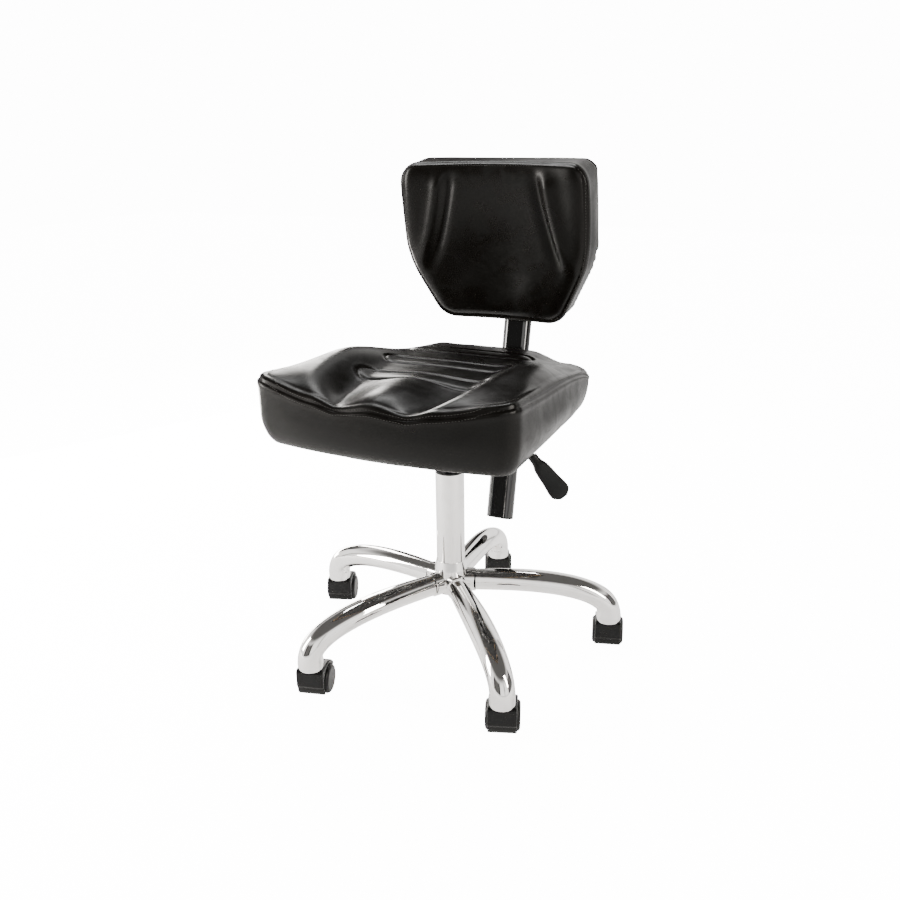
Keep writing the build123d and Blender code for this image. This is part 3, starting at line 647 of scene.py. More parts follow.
    @classmethod
    def inflate(cls, piece: bpy.types.Object, cap: float) -> None:
        """Swell a cushion as cloth under pressure, no point further than a cap.

        Args:
            piece: the cushion.
            cap: furthest that a point may move.
        """
        rest = cls.points(piece)
        modifier = piece.modifiers.new("cover", "CLOTH")
        modifier.settings.use_pressure = True
        modifier.settings.uniform_pressure_force = cls.PRESSURE
        modifier.settings.effector_weights.gravity = 0.0
        modifier.point_cache.frame_start, modifier.point_cache.frame_end = 1, cls.FRAMES
        scene = bpy.context.scene
        for step in range(1, cls.FRAMES + 1):
            scene.frame_set(step)
        cooked = piece.evaluated_get(bpy.context.evaluated_depsgraph_get())
        moved = cls.read(cooked.data.vertices, "co")
        piece.modifiers.remove(modifier)
        scene.frame_set(1)
        outward = cls.normals(piece)
        swell = np.einsum("ij,ij->i", moved - rest, outward)
        swell = cls.spread(piece, np.clip(swell, 0.0, cap))
        cls.move_points(piece, rest + outward * swell[:, None])

    @classmethod
    def spread(cls, piece: bpy.types.Object, values: np.ndarray) -> np.ndarray:
        """Average a value with its neighbours over a mesh, so that a skin swells without folds.

        Args:
            piece: the mesh.
            values: one value for each point.

        Returns:
            The evened values.
        """
        ends = np.zeros(len(piece.data.edges) * 2, int)
        piece.data.edges.foreach_get("vertices", ends)
        a, b = ends[0::2], ends[1::2]
        count = np.bincount(ends, minlength=len(values)).clip(1)
        for _ in range(cls.PASSES):
            total = (np.bincount(a, values[b], len(values))
                     + np.bincount(b, values[a], len(values)))
            values = cls.OWN_SHARE * values + cls.NEAR_SHARE * total / count
        return values


def relax(piece: bpy.types.Object, steps: int) -> None:
    """Even out a mesh, in that many passes."""
    Bench.finish(piece, "SMOOTH", factor=0.5, iterations=steps)


def dress(piece: bpy.types.Object, stock: Stock) -> None:
    """Give a piece its only material."""
    piece.data.materials.clear()
    piece.data.materials.append(stock.material())


class StitchRow:
    """A row of stitches, one stitch modelled and copied along a line."""

    LENGTH, THICK, PITCH, LIFT = 3.6 * MM, 0.75 * MM, 4.8 * MM, 0.1 * MM

    def __init__(self) -> None:
        """Model the one stitch."""
        Bench.clear()
        bpy.ops.mesh.primitive_uv_sphere_add(segments=6, ring_count=5, radius=0.5)
        seed = bpy.context.active_object
        Bench.on_all(bpy.ops.transform.rotate, value=math.pi / 2, orient_axis="Y",
                     center_override=(0.0, 0.0, 0.0))
        self.points = Bench.points(seed) * np.array([self.LENGTH, self.THICK, self.THICK])
        self.faces = [tuple(face.vertices) for face in seed.data.polygons]
        bpy.data.objects.remove(seed)

    def sew(self, name: str, lines: List[np.ndarray],
            onto: bpy.types.Object) -> bpy.types.Object:
        """Sew stitches along lines on a surface.

        Args:
            name: name of the piece of thread.
            lines: closed lines of points near the surface.
            onto: the piece whose surface they lie on.

        Returns:
            All the stitches as one piece.
        """
        tree = BVHTree.FromObject(onto, bpy.context.evaluated_depsgraph_get())
        points, faces = [], []
        for line in lines:
            ring = np.vstack([line, line[:1]])
            run = np.concatenate([[0], np.cumsum(np.linalg.norm(np.diff(ring, axis=0), axis=1))])
            count = int(run[-1] / self.PITCH)
            places = (np.arange(count) + 0.5) * run[-1] / count
            spots = np.stack([np.interp(places, run, ring[:, k]) for k in range(3)], axis=1)
            ahead = np.roll(spots, -1, axis=0) - np.roll(spots, 1, axis=0)
            for spot, along in zip(spots, ahead):
                found, normal, _, _ = tree.find_nearest(Vector(spot))
                axis = Vector(along).normalized()
                side = normal.cross(axis).normalized()
                axis = side.cross(normal).normalized()
                turn = np.array([axis, side, normal])
                base = len(points)
                points.extend(self.points @ turn + np.array(found + normal * self.LIFT))
                faces.extend(tuple(base + i for i in face) for face in self.faces)
        mesh = bpy.data.meshes.new(name)
        mesh.from_pydata([tuple(p) for p in points], [], faces)
        mesh.update()
        mesh.polygons.foreach_set("use_smooth", [True] * len(mesh.polygons))
        thread = bpy.data.objects.new(name, mesh)
        bpy.context.scene.collection.objects.link(thread)
        dress(thread, Stock.THREAD)
        return thread


# ------------------------------------------------------------------ seat
@dataclass
class SeatCushion:
    """The seat's upholstery: saddle top, boxing, seam and three sewn loops. Millimetres."""

    front: float = -243.0
    rear: float = 166.0
    half: float = 217.0
    bottom: float = 440.0
    lid: float = 540.0
    front_bow: float = 23.0
    rear_bow: float = 26.0
    pocket_top: float = 457.5
    pocket_lip: float = 6.5
    corner: float = 27.0
    under_radius: float = 15.0
    lid_radius: float = 5.0
    slack: float = 0.5
    tuck: float = 13.0
    tuck_from: float = 492.0
    tuck_fall: float = 52.0
    tuck_band: Tuple[float, float] = (4.0, 19.0)
    cap: float = 7.0
    voxel: float = 5.0
    loop_reach: float = 115.0
    loop_radius: float = 19.0
    loops: Tuple[float, ...] = (-83.0, 8.0, 99.0)
    loop_press: float = 2.6
    loop_fill: float = 1.3
    loop_roll: float = 0.5
    seam_press: float = 2.4
    seam_roll: float = 0.9
    stitch_press: float = 0.6
    stitch_inset: float = 4.5
    squareness: float = 7.5
    half_width: Profile = field(default_factory=lambda: Profile(
        ((-192, 196), (-166, 198), (0, 209), (150, 216), (215, 219), (243, 221), (266, 221))))
    seam: Profile = field(default_factory=lambda: Profile(
        ((-192, 500), (-165, 500), (-140, 502), (-119, 509), (-50, 523), (0, 529), (71, 535),
         (100, 537), (170, 544), (208, 548), (247, 552), (273, 552))))
    crest: Profile = field(default_factory=lambda: Profile(
        ((-192, 505), (-165, 508), (-140, 512), (-83, 523), (-40, 535), (0, 545), (40, 553),
         (71, 556), (99, 556), (150, 553), (208, 546), (245, 533), (273, 523))))
    crest_x: Profile = field(default_factory=lambda: Profile(
        ((-192, 148), (-83, 152), (0, 158), (71, 160), (110, 158), (150, 152), (208, 136),
         (245, 110), (273, 92))))
    hollow: Profile = field(default_factory=lambda: Profile(
        ((-192, 511), (-178, 521), (-140, 527), (-83, 530.5), (0, 530), (60, 528), (99, 525),
         (150, 518), (200, 515), (240, 517), (273, 521))))
    middle: Profile = field(default_factory=lambda: Profile(
        ((-192, 512), (-178, 522), (-140, 528), (-83, 530.5), (0, 531), (60, 531), (99, 532),
         (150, 536), (200, 538.5), (235, 535), (262, 527), (273, 525))))

    def top(self, x: np.ndarray, v: np.ndarray) -> np.ndarray:
        """Height of the seat's top.

        Args:
            x: place across the seat.
            v: place along the seat, forward of the column.

        Returns:
            Heights above the floor.
        """
        across = np.abs(x)
        wide, ridge = self.half_width(v), self.crest_x(v)
        dip = ridge * 0.55
        inner = smoothstep(across / dip, 0.0, 1.0)
        rise = smoothstep((across - dip) / (ridge - dip), 0.0, 1.0)
        fall = np.clip((across - ridge) / (wide - ridge), 0.0, 1.0) ** 1.35
        low = self.middle(v) + (self.hollow(v) - self.middle(v)) * inner
        shape = low + (self.crest(v) - low) * rise
        return shape + (self.seam(v) - self.crest(v)) * fall

    def bowed(self, x: np.ndarray, y: np.ndarray, slack: float) -> np.ndarray:
        """Carry the block's straight front and rear outward in a bow.

        Args:
            x: places across the plain block.
            y: places along the plain block.
            slack: how far the plain block is inside its full size.

        Returns:
            The new places along it.
        """
        front, rear, half = self.front + slack, self.rear - slack, self.half - slack
        along = (y - front) / (rear - front)
        bow = np.where(along < 0.5, -self.front_bow * (1 - 2 * along),
                       self.rear_bow * (2 * along - 1))
        return y + bow * (1 - (x / half) ** 2)

    def block_out(self) -> bpy.types.Object:
        """Rough out the cushion: rounded block with the pocket for its board.

        Returns:
            The block, remeshed and shaped.
        """
        s = self.slack
        front, rear, half = self.front + s, self.rear - s, self.half - s
        piece = Bench.block("seat_upholstery", Vector((-half, front, self.bottom)) * MM,
                            Vector((half, rear, self.lid)) * MM)
        Bench.pick_edges(piece, lambda a, b: abs(a.z - b.z) > 10 * MM)
        bpy.ops.mesh.bevel(offset=self.corner * MM, segments=8, affect="EDGES")
        low, high = (self.bottom + 1) * MM, (self.lid - 1) * MM
        Bench.pick_edges(piece, lambda a, b: max(a.z, b.z) < low)
        bpy.ops.mesh.bevel(offset=self.under_radius * MM, segments=5, affect="EDGES")
        Bench.pick_edges(piece, lambda a, b: min(a.z, b.z) > high)
        bpy.ops.mesh.bevel(offset=self.lid_radius * MM, segments=2, affect="EDGES")
        Bench.pick_faces(piece, lambda f: f.normal.z < -0.99 and f.area > 0.02)
        bpy.ops.mesh.inset(thickness=self.pocket_lip * MM)
        bpy.ops.transform.translate(value=(0, 0, (self.pocket_top - self.bottom) * MM))
        bpy.ops.object.mode_set(mode="OBJECT")
        Bench.finish(piece, "REMESH", mode="VOXEL", voxel_size=self.voxel * MM)
        p = Bench.points(piece) / MM
        x, y, z = p.T
        inward = self.inward(x, y)
        rim = inward - np.maximum(self.lid - z, 0)
        y = self.bowed(x, y, s)
        x = x * self.half_width(-y) / self.half
        rest = self.top(x * half / (half - s), -y)
        lift = np.clip((z - self.pocket_top) / (self.lid - self.pocket_top), 0.0, None)
        z = z + lift * (rest - self.lid - s * 0.5)
        tuck = (np.clip((self.tuck_from - z) / self.tuck_fall, 0, 1) ** 2 * self.tuck
                * (1 - smoothstep(inward, *self.tuck_band)))
        middle, deep = (front + rear) / 2, (rear - front) / 2
        x, y = x * (1 - tuck / half), middle + (y - middle) * (1 - tuck / deep)
        Bench.move_points(piece, np.stack([x, y, z], axis=1) * MM)
        Bench.remember(piece, "pattern", np.stack([x, -y, rim], axis=1))
        return piece

    def inward(self, x: np.ndarray, y: np.ndarray) -> np.ndarray:
        """Distance in from the plain block's walls, never below 0.

        Args:
            x: places across the plain block.
            y: places along the plain block.

        Returns:
            The distances.
        """
        s = self.slack
        middle, deep = (self.front + self.rear) / 2, (self.rear - self.front) / 2 - s
        dx = np.abs(x) - (self.half - s - self.corner)
        dy = np.abs(y - middle) - (deep - self.corner)
        outside = np.hypot(np.maximum(dx, 0), np.maximum(dy, 0))
        return np.maximum(self.corner - outside - np.minimum(np.maximum(dx, dy), 0), 0)

    def sculpt(self, piece: bpy.types.Object) -> None:
        """Sew the seam and the loops into the swollen cushion.

        Args:
            piece: the cushion.
        """
        x, v, rim = Bench.recall(piece, "pattern").T
        p, n = Bench.points(piece), Bench.normals(piece)
        push = (-self.seam_press * bell(rim, 2.6) + self.seam_roll * bell(rim - 8, 4)
                + self.seam_roll * bell(rim + 8, 4))
        push = push - self.stitch_press * bell(rim - 14.5, 2.0)
        facing = smoothstep(n[:, 2], 0.3, 0.7)
        for centre in self.loops:
            reach = self.loop_reach - self.loop_radius
            run = np.maximum(np.abs(x) - reach, 0)
            gap = np.hypot(run, v - centre) - self.loop_radius
            push = push + facing * (-self.loop_press * bell(gap, 2.4)
                                    + self.loop_fill * smoothstep(-gap, 1.5, 12)
                                    + self.loop_roll * bell(gap - 6, 4))
        Bench.move_points(piece, p + n * push[:, None] * MM)

    def seam_lines(self) -> List[np.ndarray]:
        """Lines that the stitches of the top seam follow, one each side of it.

        Returns:
            Closed lines of points, in metres.
        """
        lines = []
        turn = np.linspace(0, 2 * math.pi, 721)[:-1]
        c, s = np.cos(turn), np.sin(turn)
        power = 2 / self.squareness
        middle, deep = (self.front + self.rear) / 2, (self.rear - self.front) / 2
        for inset in (-self.stitch_inset, self.stitch_inset):
            x = np.sign(c) * np.abs(c) ** power * (self.half - max(inset, 0))
            y = middle + np.sign(s) * np.abs(s) ** power * (deep - max(inset, 0))
            y = self.bowed(x, y, 0.0)
            x = x * self.half_width(-y) / self.half
            z = self.top(x * 0.985, -y) + min(inset, 0) * 1.6
            lines.append(np.stack([x, y, z], axis=1) * MM)
        return lines

    def build(self) -> bpy.types.Object:
        """Make the cushion and its stitches.

        Returns:
            The cushion.
        """
        piece = self.block_out()
        Bench.inflate(piece, self.cap * MM)
        relax(piece, 3)
        p = Bench.points(piece)
        p[:, 2] = np.maximum(p[:, 2], (self.bottom + 0.3) * MM)
        Bench.move_points(piece, p)
        Bench.finish(piece, "SUBSURF", levels=1, render_levels=1)
        self.sculpt(piece)
        Bench.smooth(piece)
        dress(piece, Stock.SEAT_VINYL)
        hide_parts("seat_cushion")
        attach(piece, "seat")
        thread = StitchRow().sew("seat_seam_stitches", self.seam_lines(), piece)
        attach(thread, "seat")
        return piece


# ------------------------------------------------------------------ back
@dataclass
class BackCushion:
    """The back's upholstery, in its own leaning frame: x across, h up, d behind the front seam."""

    lean: float = 8.3
    foot_y: float = 222.0
    foot_z: float = 578.0
    height: float = 276.0
    bottom_half: float = 116.0
    shoulder_half: float = 173.0
    top_half: float = 176.0
    shoulder: float = 102.0
    depth: float = 68.0
    board_depth: float = 48.0
    wing: float = 26.0
    wing_power: float = 2.1
    top_corner: float = 34.0
    shoulder_corner: float = 34.0
    foot_corner: float = 24.0
    pocket_lip: float = 8.5
    slack: float = 0.5
    below: float = 11.0
    cap: float = 6.0
    voxel: float = 5.0
    seam_press: float = 2.2
    seam_roll: float = 0.8
    rear_seam_press: float = 1.8
    crease_press: float = 5.0
    crease_roll: float = 6.5
    rim_round: float = 6.5
    hollow_press: float = 5.0
    lumbar_roll: float = 3.0
    rear_tuck: float = 7.0
    stitch_rows: Tuple[float, float] = (2.0, 12.0)

    def sweep(self, x: np.ndarray) -> np.ndarray:
        """How far the wings are swept forward, from 0 in the middle to 1 at the top corners."""
        return (np.abs(x) / self.top_half) ** self.wing_power

    def to_row(self, local: np.ndarray) -> np.ndarray:
        """Turn points of the leaning frame into the row frame.

        Args:
            local: points as x, d, h in millimetres.

        Returns:
            Points in metres.
        """
        t = math.radians(self.lean)
        x, d, h = local[:, 0], local[:, 1], local[:, 2]
        y = self.foot_y + d * math.cos(t) - h * math.sin(t)
        z = self.foot_z + d * math.sin(t) + h * math.cos(t)
        return np.stack([x, y, z], axis=1) * MM

    def block_out(self) -> bpy.types.Object:
        """Rough out the pad: tapered slab, rounded corners, pocket behind.

        Returns:
            The slab, remeshed, in its leaning frame.
        """
        s = self.slack
        piece = Bench.block("back_upholstery", Vector((-self.top_half + s, 2.0, -self.below)) * MM,
                            Vector((self.top_half - s, self.depth - 1, self.height - 3)) * MM)
        Bench.on_all(bpy.ops.mesh.bisect, plane_co=(0, 0, self.shoulder * MM),
                     plane_no=(0, 0, 1))
        p = Bench.points(piece) / MM
        low, mid = p[:, 2] < self.shoulder - 20, np.abs(p[:, 2] - self.shoulder) < 20
        p[low, 0] = np.sign(p[low, 0]) * (self.bottom_half - s)
        p[mid, 0] = np.sign(p[mid, 0]) * (self.shoulder_half - s)
        Bench.move_points(piece, p * MM)

        def corner(level: Callable[[float], bool]) -> Callable[[Vector, Vector], bool]:
            """Test for the edges that run through the pad at some level."""
            return lambda a, b: abs(a.y - b.y) > 30 * MM and level(a.z / MM)

        for level, radius, segments in (
                (lambda z: z > 200, self.top_corner, 8),
                (lambda z: z < 20, self.foot_corner, 7),
                (lambda z: abs(z - self.shoulder) < 8, self.shoulder_corner, 6)):
            Bench.pick_edges(piece, corner(level))
            bpy.ops.mesh.bevel(offset=radius * MM, segments=segments, affect="EDGES")
        Bench.pick_faces(piece, lambda f: f.normal.y > 0.99)
        bpy.ops.mesh.inset(thickness=self.pocket_lip * MM)
        bpy.ops.transform.translate(value=(0, -(self.depth - self.board_depth + 2.0) * MM, 0))
        bpy.ops.object.mode_set(mode="OBJECT")
        Bench.finish(piece, "TRIANGULATE")
        Bench.finish(piece, "REMESH", mode="VOXEL", voxel_size=self.voxel * MM)
        p = Bench.points(piece) / MM
        forward = np.clip((self.board_depth - p[:, 1]) / self.board_depth, 0, 1)
        Bench.remember(piece, "pattern", p)
        p[:, 1] -= forward * self.wing * self.sweep(p[:, 0])
        Bench.move_points(piece, p * MM)
        return piece

    def sculpt(self, piece: bpy.types.Object) -> None:
        """Press the seams, the pulled creases and the hollow into the swollen pad.

        Args:
            piece: the pad.
        """
        x, d, h = Bench.recall(piece, "pattern").T
        p, n = Bench.points(piece), Bench.normals(piece)
        front = smoothstep(-n[:, 1], 0.35, 0.8)
        side = 1.0 - smoothstep(np.abs(n[:, 1]), 0.35, 0.8)
        across = np.abs(x)
        seam = d - self.slack
        push = side * (-self.seam_press * bell(seam - 3.5, 2.6)
                       + self.seam_roll * bell(seam - 12, 4))
        push = push - side * self.rear_seam_press * bell(d - self.depth + 16, 2.4)
        drop = (self.height - h) / self.height
        crease = 78.0 + 30.0 * drop + 60.0 * drop ** 2
        fade = smoothstep(drop, 0.03, 0.16) * (1 - smoothstep(drop, 0.5, 0.75))
        push = push - front * fade * self.crease_press * bell(across - crease, 10.0)
        push = push + front * fade * self.crease_roll * bell(across - crease - 20, 15.0)
        outline = Profile(((-self.below, self.bottom_half), (self.shoulder, self.shoulder_half),
                           (self.height, self.top_half)))
        edge = outline(h) - across
        push = push - front * self.rim_round * (bell(edge, 15.0) + bell(h + self.below, 13.0))
        hollow = bell(x, 70.0) * bell(h - 95.0, 70.0)
        push = push - front * self.hollow_press * hollow
        push = push + front * self.lumbar_roll * bell(across - 62, 30) * bell(h - 45, 34)
        p = p + n * push[:, None] * MM
        rear = smoothstep(d, self.depth - 16.0, self.depth - 1.0) ** 2
        tuck = self.rear_tuck * MM
        p[:, 0] -= np.sign(x) * tuck * rear * (1 - smoothstep(edge, 4.0, 9.0))
        p[:, 2] -= tuck * rear * smoothstep(h, self.height - 12.0, self.height - 7.0)
        p[:, 2] += tuck * rear * (1 - smoothstep(h + self.below, 4.0, 9.0))
        Bench.move_points(piece, p)

    def seam_lines(self) -> List[np.ndarray]:
        """Lines of the stitches round the front seam and the rear one.

        Returns:
            Closed lines of points, in the leaning frame, in metres.
        """
        corners = [(-self.bottom_half, -self.below), (self.bottom_half, -self.below),
                   (self.shoulder_half, self.shoulder), (self.top_half, self.height),
                   (-self.top_half, self.height), (-self.shoulder_half, self.shoulder)]
        radii = (self.foot_corner, self.foot_corner, self.shoulder_corner, self.top_corner,
                 self.top_corner, self.shoulder_corner)
        outline: List[Tuple[float, float]] = []
        count = len(corners)
        for i, (corner, radius) in enumerate(zip(corners, radii)):
            here = np.array(corner, float)
            back = np.array(corners[i - 1], float) - here
            ahead = np.array(corners[(i + 1) % count], float) - here
            start = here + back / np.linalg.norm(back) * radius
            end = here + ahead / np.linalg.norm(ahead) * radius
            for t in np.linspace(0, 1, 9):
                outline.append(tuple((1 - t) ** 2 * start + 2 * t * (1 - t) * here + t * t * end))
        flat = np.array(outline)
        lines = []
        for behind in self.stitch_rows:
            wing = self.wing * self.sweep(flat[:, 0])
            forward = (self.board_depth - behind) / self.board_depth
            depth = behind - wing * forward
            lines.append(np.stack([flat[:, 0], depth, flat[:, 1]], axis=1) * MM)
        return lines

    def build(self) -> bpy.types.Object:
        """Make the pad and its stitches.

        Returns:
            The pad.
        """
        piece = self.block_out()
        Bench.inflate(piece, self.cap * MM)
        relax(piece, 3)
        Bench.finish(piece, "SUBSURF", levels=1, render_levels=1)
        self.sculpt(piece)
        thread = StitchRow().sew("back_seam_stitches", self.seam_lines(), piece)
        for part in (piece, thread):
            Bench.move_points(part, self.to_row(Bench.points(part) / MM))
        Bench.smooth(piece)
        dress(piece, Stock.BACK_VINYL)
        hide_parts("back_cushion")
        for part in (piece, thread):
            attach(part, "back")
        return piece


# ------------------------------------------------------------------ lever
@dataclass
class LeverGrip:
    """The lever's moulded grip: round ribbed neck that flattens into a wide rounded paddle.

    Millimetres and degrees; the ribs' pitch and end, and both profiles, are shares of the length.
    """

    bend_x: float = 127.0
    bend_z: float = 421.0
    slope: float = 48.0
    twist: float = 65.0
    start: float = 36.0
    end: float = 122.0
    widen: float = 1.2
    rib_pitch: float = 0.062
    rib_depth: float = 0.9
    rib_end: float = 0.2
    dish_depth: float = 1.6
    squareness: float = 0.62
    width: Profile = field(default_factory=lambda: Profile(
        ((0, 7), (0.06, 7.2), (0.16, 7.2), (0.24, 10), (0.34, 11), (0.6, 12.6), (0.82, 14.6),
         (0.93, 13.6), (0.98, 9.5), (1.0, 5.5))))
    thick: Profile = field(default_factory=lambda: Profile(
        ((0, 7), (0.16, 7.2), (0.24, 7.4), (0.36, 6.2), (0.6, 4.6), (0.8, 4.4), (0.93, 3.8),
         (1.0, 2.2))))

    def build(self) -> bpy.types.Object:
        """Make the grip.

        Returns:
            The grip.
        """
        piece = Bench.block("lever_grip", Vector((-1, 0, -1)), Vector((1, 1, 1)))
        Bench.on_all(bpy.ops.mesh.subdivide, number_cuts=11)
        a, b, c = Bench.points(piece).T
        square = smoothstep(b, 0.16, 0.45) * self.squareness
        reach = np.maximum(np.hypot(a, c), 1e-6)
        box = np.maximum(np.abs(a), np.abs(c))
        shrink = (1 - square) * box / reach + square
        from_rib = np.mod(b, self.rib_pitch) - self.rib_pitch / 2
        ribs = self.rib_depth * bell(from_rib, 0.012) * (b < self.rib_end)
        dish = self.dish_depth * bell(b - 0.66, 0.16) * bell(a, 0.7) * (c > 0.5)
        wide = self.widen * (self.width(b) - ribs) * a * shrink
        deep = (self.thick(b) - ribs - dish) * c * shrink
        run = self.start + b * (self.end - self.start)
        drop, turn = math.radians(self.slope), math.radians(self.twist)
        along = np.array([math.cos(drop), 0.0, -math.sin(drop)])
        level, under = np.array([0.0, -1.0, 0.0]), np.array([-math.sin(drop), 0, -math.cos(drop)])
        across = math.cos(turn) * level + math.sin(turn) * under
        normal = np.cross(along, across)
        root = np.array([self.bend_x, 0.0, self.bend_z])
        Bench.move_points(piece, (root + np.outer(run, along) + np.outer(wide, across)
                                  + np.outer(deep, normal)) * MM)
        Bench.on_all(bpy.ops.mesh.normals_make_consistent, inside=False)
        Bench.finish(piece, "SUBSURF", levels=2, render_levels=2)
        Bench.smooth(piece)
        dress(piece, Stock.PLASTIC)
        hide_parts("lever_paddle")
        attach(piece, "lever")
        return piece


# ------------------------------------------------------------------ casters
@dataclass
class CasterHoods:
    """The caster hoods, with the soft moulded corners that their sharp CAD solids lack."""

    count: int = 5
    merge: float = 0.01
    voxel: float = 1.3
    rounding: int = 14

    def build(self) -> bpy.types.Object:
        """Make the hoods.

        Returns:
            The last hood.
        """
        for number in range(1, self.count + 1):
            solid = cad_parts[f"caster_hood_{number}"]
            piece = bpy.data.objects.new(f"moulded_hood_{number}", solid.data.copy())
            bpy.context.scene.collection.objects.link(piece)
            Bench.hold(piece)
            Bench.on_all(bpy.ops.mesh.remove_doubles, threshold=self.merge * MM)
            bpy.ops.mesh.customdata_custom_splitnormals_clear()
            Bench.finish(piece, "REMESH", mode="VOXEL", voxel_size=self.voxel * MM)
            relax(piece, self.rounding)
            Bench.smooth(piece)
            dress(piece, Stock.HOOD_PLASTIC)
            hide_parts(f"caster_hood_{number}")
            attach(piece, f"caster_{number}")
        return piece


# ------------------------------------------------------------------ frame finishes
@dataclass
class Ironwork:
    """The finishes of the CAD nodes, by how their names start."""

    by_start: Tuple[Tuple[str, Stock], ...] = (
        ("arm_", Stock.CHROME), ("hub", Stock.CHROME), ("stem_sockets", Stock.CHROME),
        ("column_tube", Stock.CHROME), ("guide_bush", Stock.PLASTIC),
        ("gas_cylinder", Stock.SHEET_ENAMEL), ("piston_rod", Stock.GROUND_STEEL),
        ("release_pin", Stock.GROUND_STEEL), ("taper_housing", Stock.SHEET_ENAMEL),
        ("mechanism_plate", Stock.SHEET_ENAMEL), ("lever_rod", Stock.POST_ENAMEL),
        ("lever_paddle", Stock.PLASTIC), ("back_bracket", Stock.SHEET_ENAMEL),
        ("post_sleeve", Stock.SHEET_ENAMEL), ("sleeve_liner", Stock.PLASTIC),
        ("clamp_knob", Stock.PLASTIC), ("post_tube", Stock.POST_ENAMEL),
        ("post_caps", Stock.PLASTIC), ("post_head", Stock.SHEET_ENAMEL),
        ("back_plate", Stock.SHEET_ENAMEL), ("seat_board", Stock.PLY),
        ("back_board", Stock.PLY), ("back_shell", Stock.PLASTIC),
        ("seat_under_cover", Stock.DUST_CLOTH), ("caster_hood", Stock.HOOD_PLASTIC),
        ("wheel_", Stock.WHEEL))

    def finish_of(self, node: str) -> Stock:
        """The finish of a node; fixings that aren't listed are zinc plated."""
        return next((s for start, s in self.by_start if node.startswith(start)), Stock.ZINC)

    def build(self) -> None:
        """Finish every CAD node."""
        for name, node in sorted(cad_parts.items()):
            stock = self.finish_of(name)
            dress(node, stock)
            LOG.info("%s: %s", name, stock.name.lower())


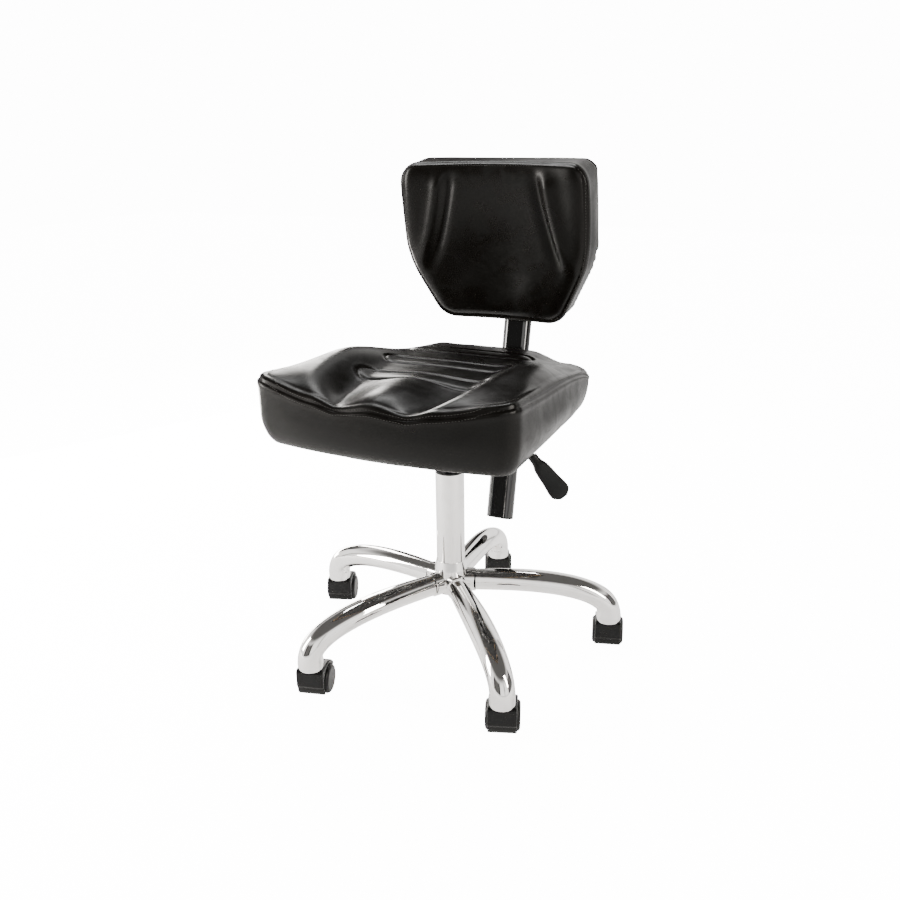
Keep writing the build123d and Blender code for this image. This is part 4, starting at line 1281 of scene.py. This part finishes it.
# ------------------------------------------------------------------ studio
@dataclass
class Studio:
    """Camera, pale floor, soft lights and a bright room with dark gaps to reflect."""

    eye: Tuple[float, float, float] = (0.67916, -1.38817, 0.9192)
    heading: float = 26.03
    pitch: float = 19.12
    roll: float = -0.83
    lens: float = 38.14
    sensor: float = 36.0
    aim: Tuple[float, float, float] = (0.0, 0.0, 0.5)
    white: float = 14.0
    room_level: float = 1.9
    floor_level: float = 0.4
    floor_size: float = 14.0
    floor_drop: float = 0.0006

    def camera(self) -> None:
        """Place the camera."""
        h, p, r = (math.radians(a) for a in (self.heading, self.pitch, self.roll))
        ahead = Vector((-math.sin(h) * math.cos(p), math.cos(h) * math.cos(p), -math.sin(p)))
        level = Vector((math.cos(h), math.sin(h), 0.0))
        above = level.cross(ahead)
        right = level * math.cos(r) + above * math.sin(r)
        up = above * math.cos(r) - level * math.sin(r)
        turn = Matrix((right, up, -ahead)).transposed().to_4x4()
        data = bpy.data.cameras.new("studio_camera")
        data.lens, data.sensor_width = self.lens, self.sensor
        made = bpy.data.objects.new("studio_camera", data)
        made.matrix_world = Matrix.Translation(self.eye) @ turn
        bpy.context.scene.collection.objects.link(made)
        bpy.context.scene.camera = made

    def light(self, name: str, spot: Sequence[float], size: Tuple[float, float],
              power: float, tint: Sequence[float] = (1, 1, 1)) -> None:
        """Hang one soft box, aimed at the middle of the stool.

        Args:
            name: the light's name.
            spot: where it hangs.
            size: its width and height.
            power: its power in watts.
            tint: its colour.
        """
        data = bpy.data.lights.new(name, "AREA")
        data.shape, data.size, data.size_y = "RECTANGLE", size[0], size[1]
        data.energy, data.color = power, tint
        made = bpy.data.objects.new(name, data)
        ray = Vector(self.aim) - Vector(spot)
        made.rotation_euler = ray.to_track_quat("-Z", "Y").to_euler()
        made.location = spot
        bpy.context.scene.collection.objects.link(made)

    def room(self) -> None:
        """A white room whose walls have dark gaps that only reflections show."""
        world = bpy.data.worlds.new("studio_room")
        bpy.context.scene.world = world
        world.use_nodes = True
        shader = Shader(world.node_tree)
        way = shader.add("ShaderNodeTexCoord", out="Generated")
        parts = shader.add("ShaderNodeSeparateXYZ", {}, {"Vector": way}).source.node
        x, y, z = (Wire(shader, part) for part in parts.outputs)
        bearing = y.combine("ARCTAN2", x)
        gaps = (bearing * 3.0 + 0.7).sine().ease(0.0, 0.5)
        slits = (bearing * 9.0 + 2.1).sine().ease(0.82, 0.97)
        low = 1.0 - z.ease(0.42, 0.6)
        dark = (gaps * 0.93 + slits * 0.6).combine("MINIMUM", 1.0) * low
        above = z.ease(0.4, 0.75) * 0.9
        level = (1.0 - dark) * (0.95 - above)
        seen = shader.add("ShaderNodeLightPath", out="Is Camera Ray")
        tone = shader.blend(level, (0.012, 0.011, 0.010, 1), (1.0, 0.985, 0.96, 1))
        back = shader.add("ShaderNodeBackground", {}, {
            "Color": shader.blend(seen, tone, (1, 1, 1, 1)),
            "Strength": self.room_level + seen * (self.white - self.room_level)})
        shader.add("ShaderNodeOutputWorld", {}, {"Surface": back})

    def floor(self) -> None:
        """Lay the pale floor."""
        Bench.clear()
        bpy.ops.mesh.primitive_grid_add(x_subdivisions=2, y_subdivisions=2,
                                        size=self.floor_size)
        made = bpy.context.active_object
        made.name = "studio_floor"
        made.data.transform(Matrix.Translation((0, 0, -self.floor_drop)))
        pale = bpy.data.materials.new("pale_floor")
        pale.use_nodes = True
        shader = Shader(pale.node_tree)
        seen = shader.add("ShaderNodeLightPath", out="Is Camera Ray")
        shader.surface({
            "Base Color": (0.9, 0.9, 0.9, 1),
            "Roughness": 0.9,
            "Specular IOR Level": 0.1,
            "Emission Color": (1, 1, 1, 1),
            "Emission Strength": self.floor_level + seen * (self.white - self.floor_level)})
        made.data.materials.append(pale)

    def build(self) -> None:
        """Set up the studio."""
        self.camera()
        self.room()
        self.floor()
        self.light("key_box", (-1.9, -1.1, 0.95), (0.55, 1.3), 70.0, (1.0, 0.96, 0.91))
        self.light("side_strip", (1.9, -0.5, 1.2), (0.3, 1.2), 30.0, (1.0, 0.95, 0.88))
        self.light("overhead_box", (-0.5, 0.9, 2.3), (1.3, 0.5), 30.0)
        self.light("low_bounce", (-1.5, 0.75, 0.12), (1.3, 0.35), 26.0, (1.0, 0.96, 0.9))
        self.light("rear_strip", (-1.4, 1.6, 1.1), (0.35, 1.2), 22.0, (1.0, 0.97, 0.93))


def main() -> None:
    """Build the stool's looks in order."""
    logging.basicConfig(level=logging.INFO, format="%(name)s: %(message)s")
    Studio().build()
    Ironwork().build()
    for maker in (CasterHoods(), LeverGrip(), SeatCushion(), BackCushion()):
        piece = maker.build()
        LOG.info("%s: %d faces", piece.name, len(piece.data.polygons))
    Bench.clear()


if __name__ == "__main__":
    main()
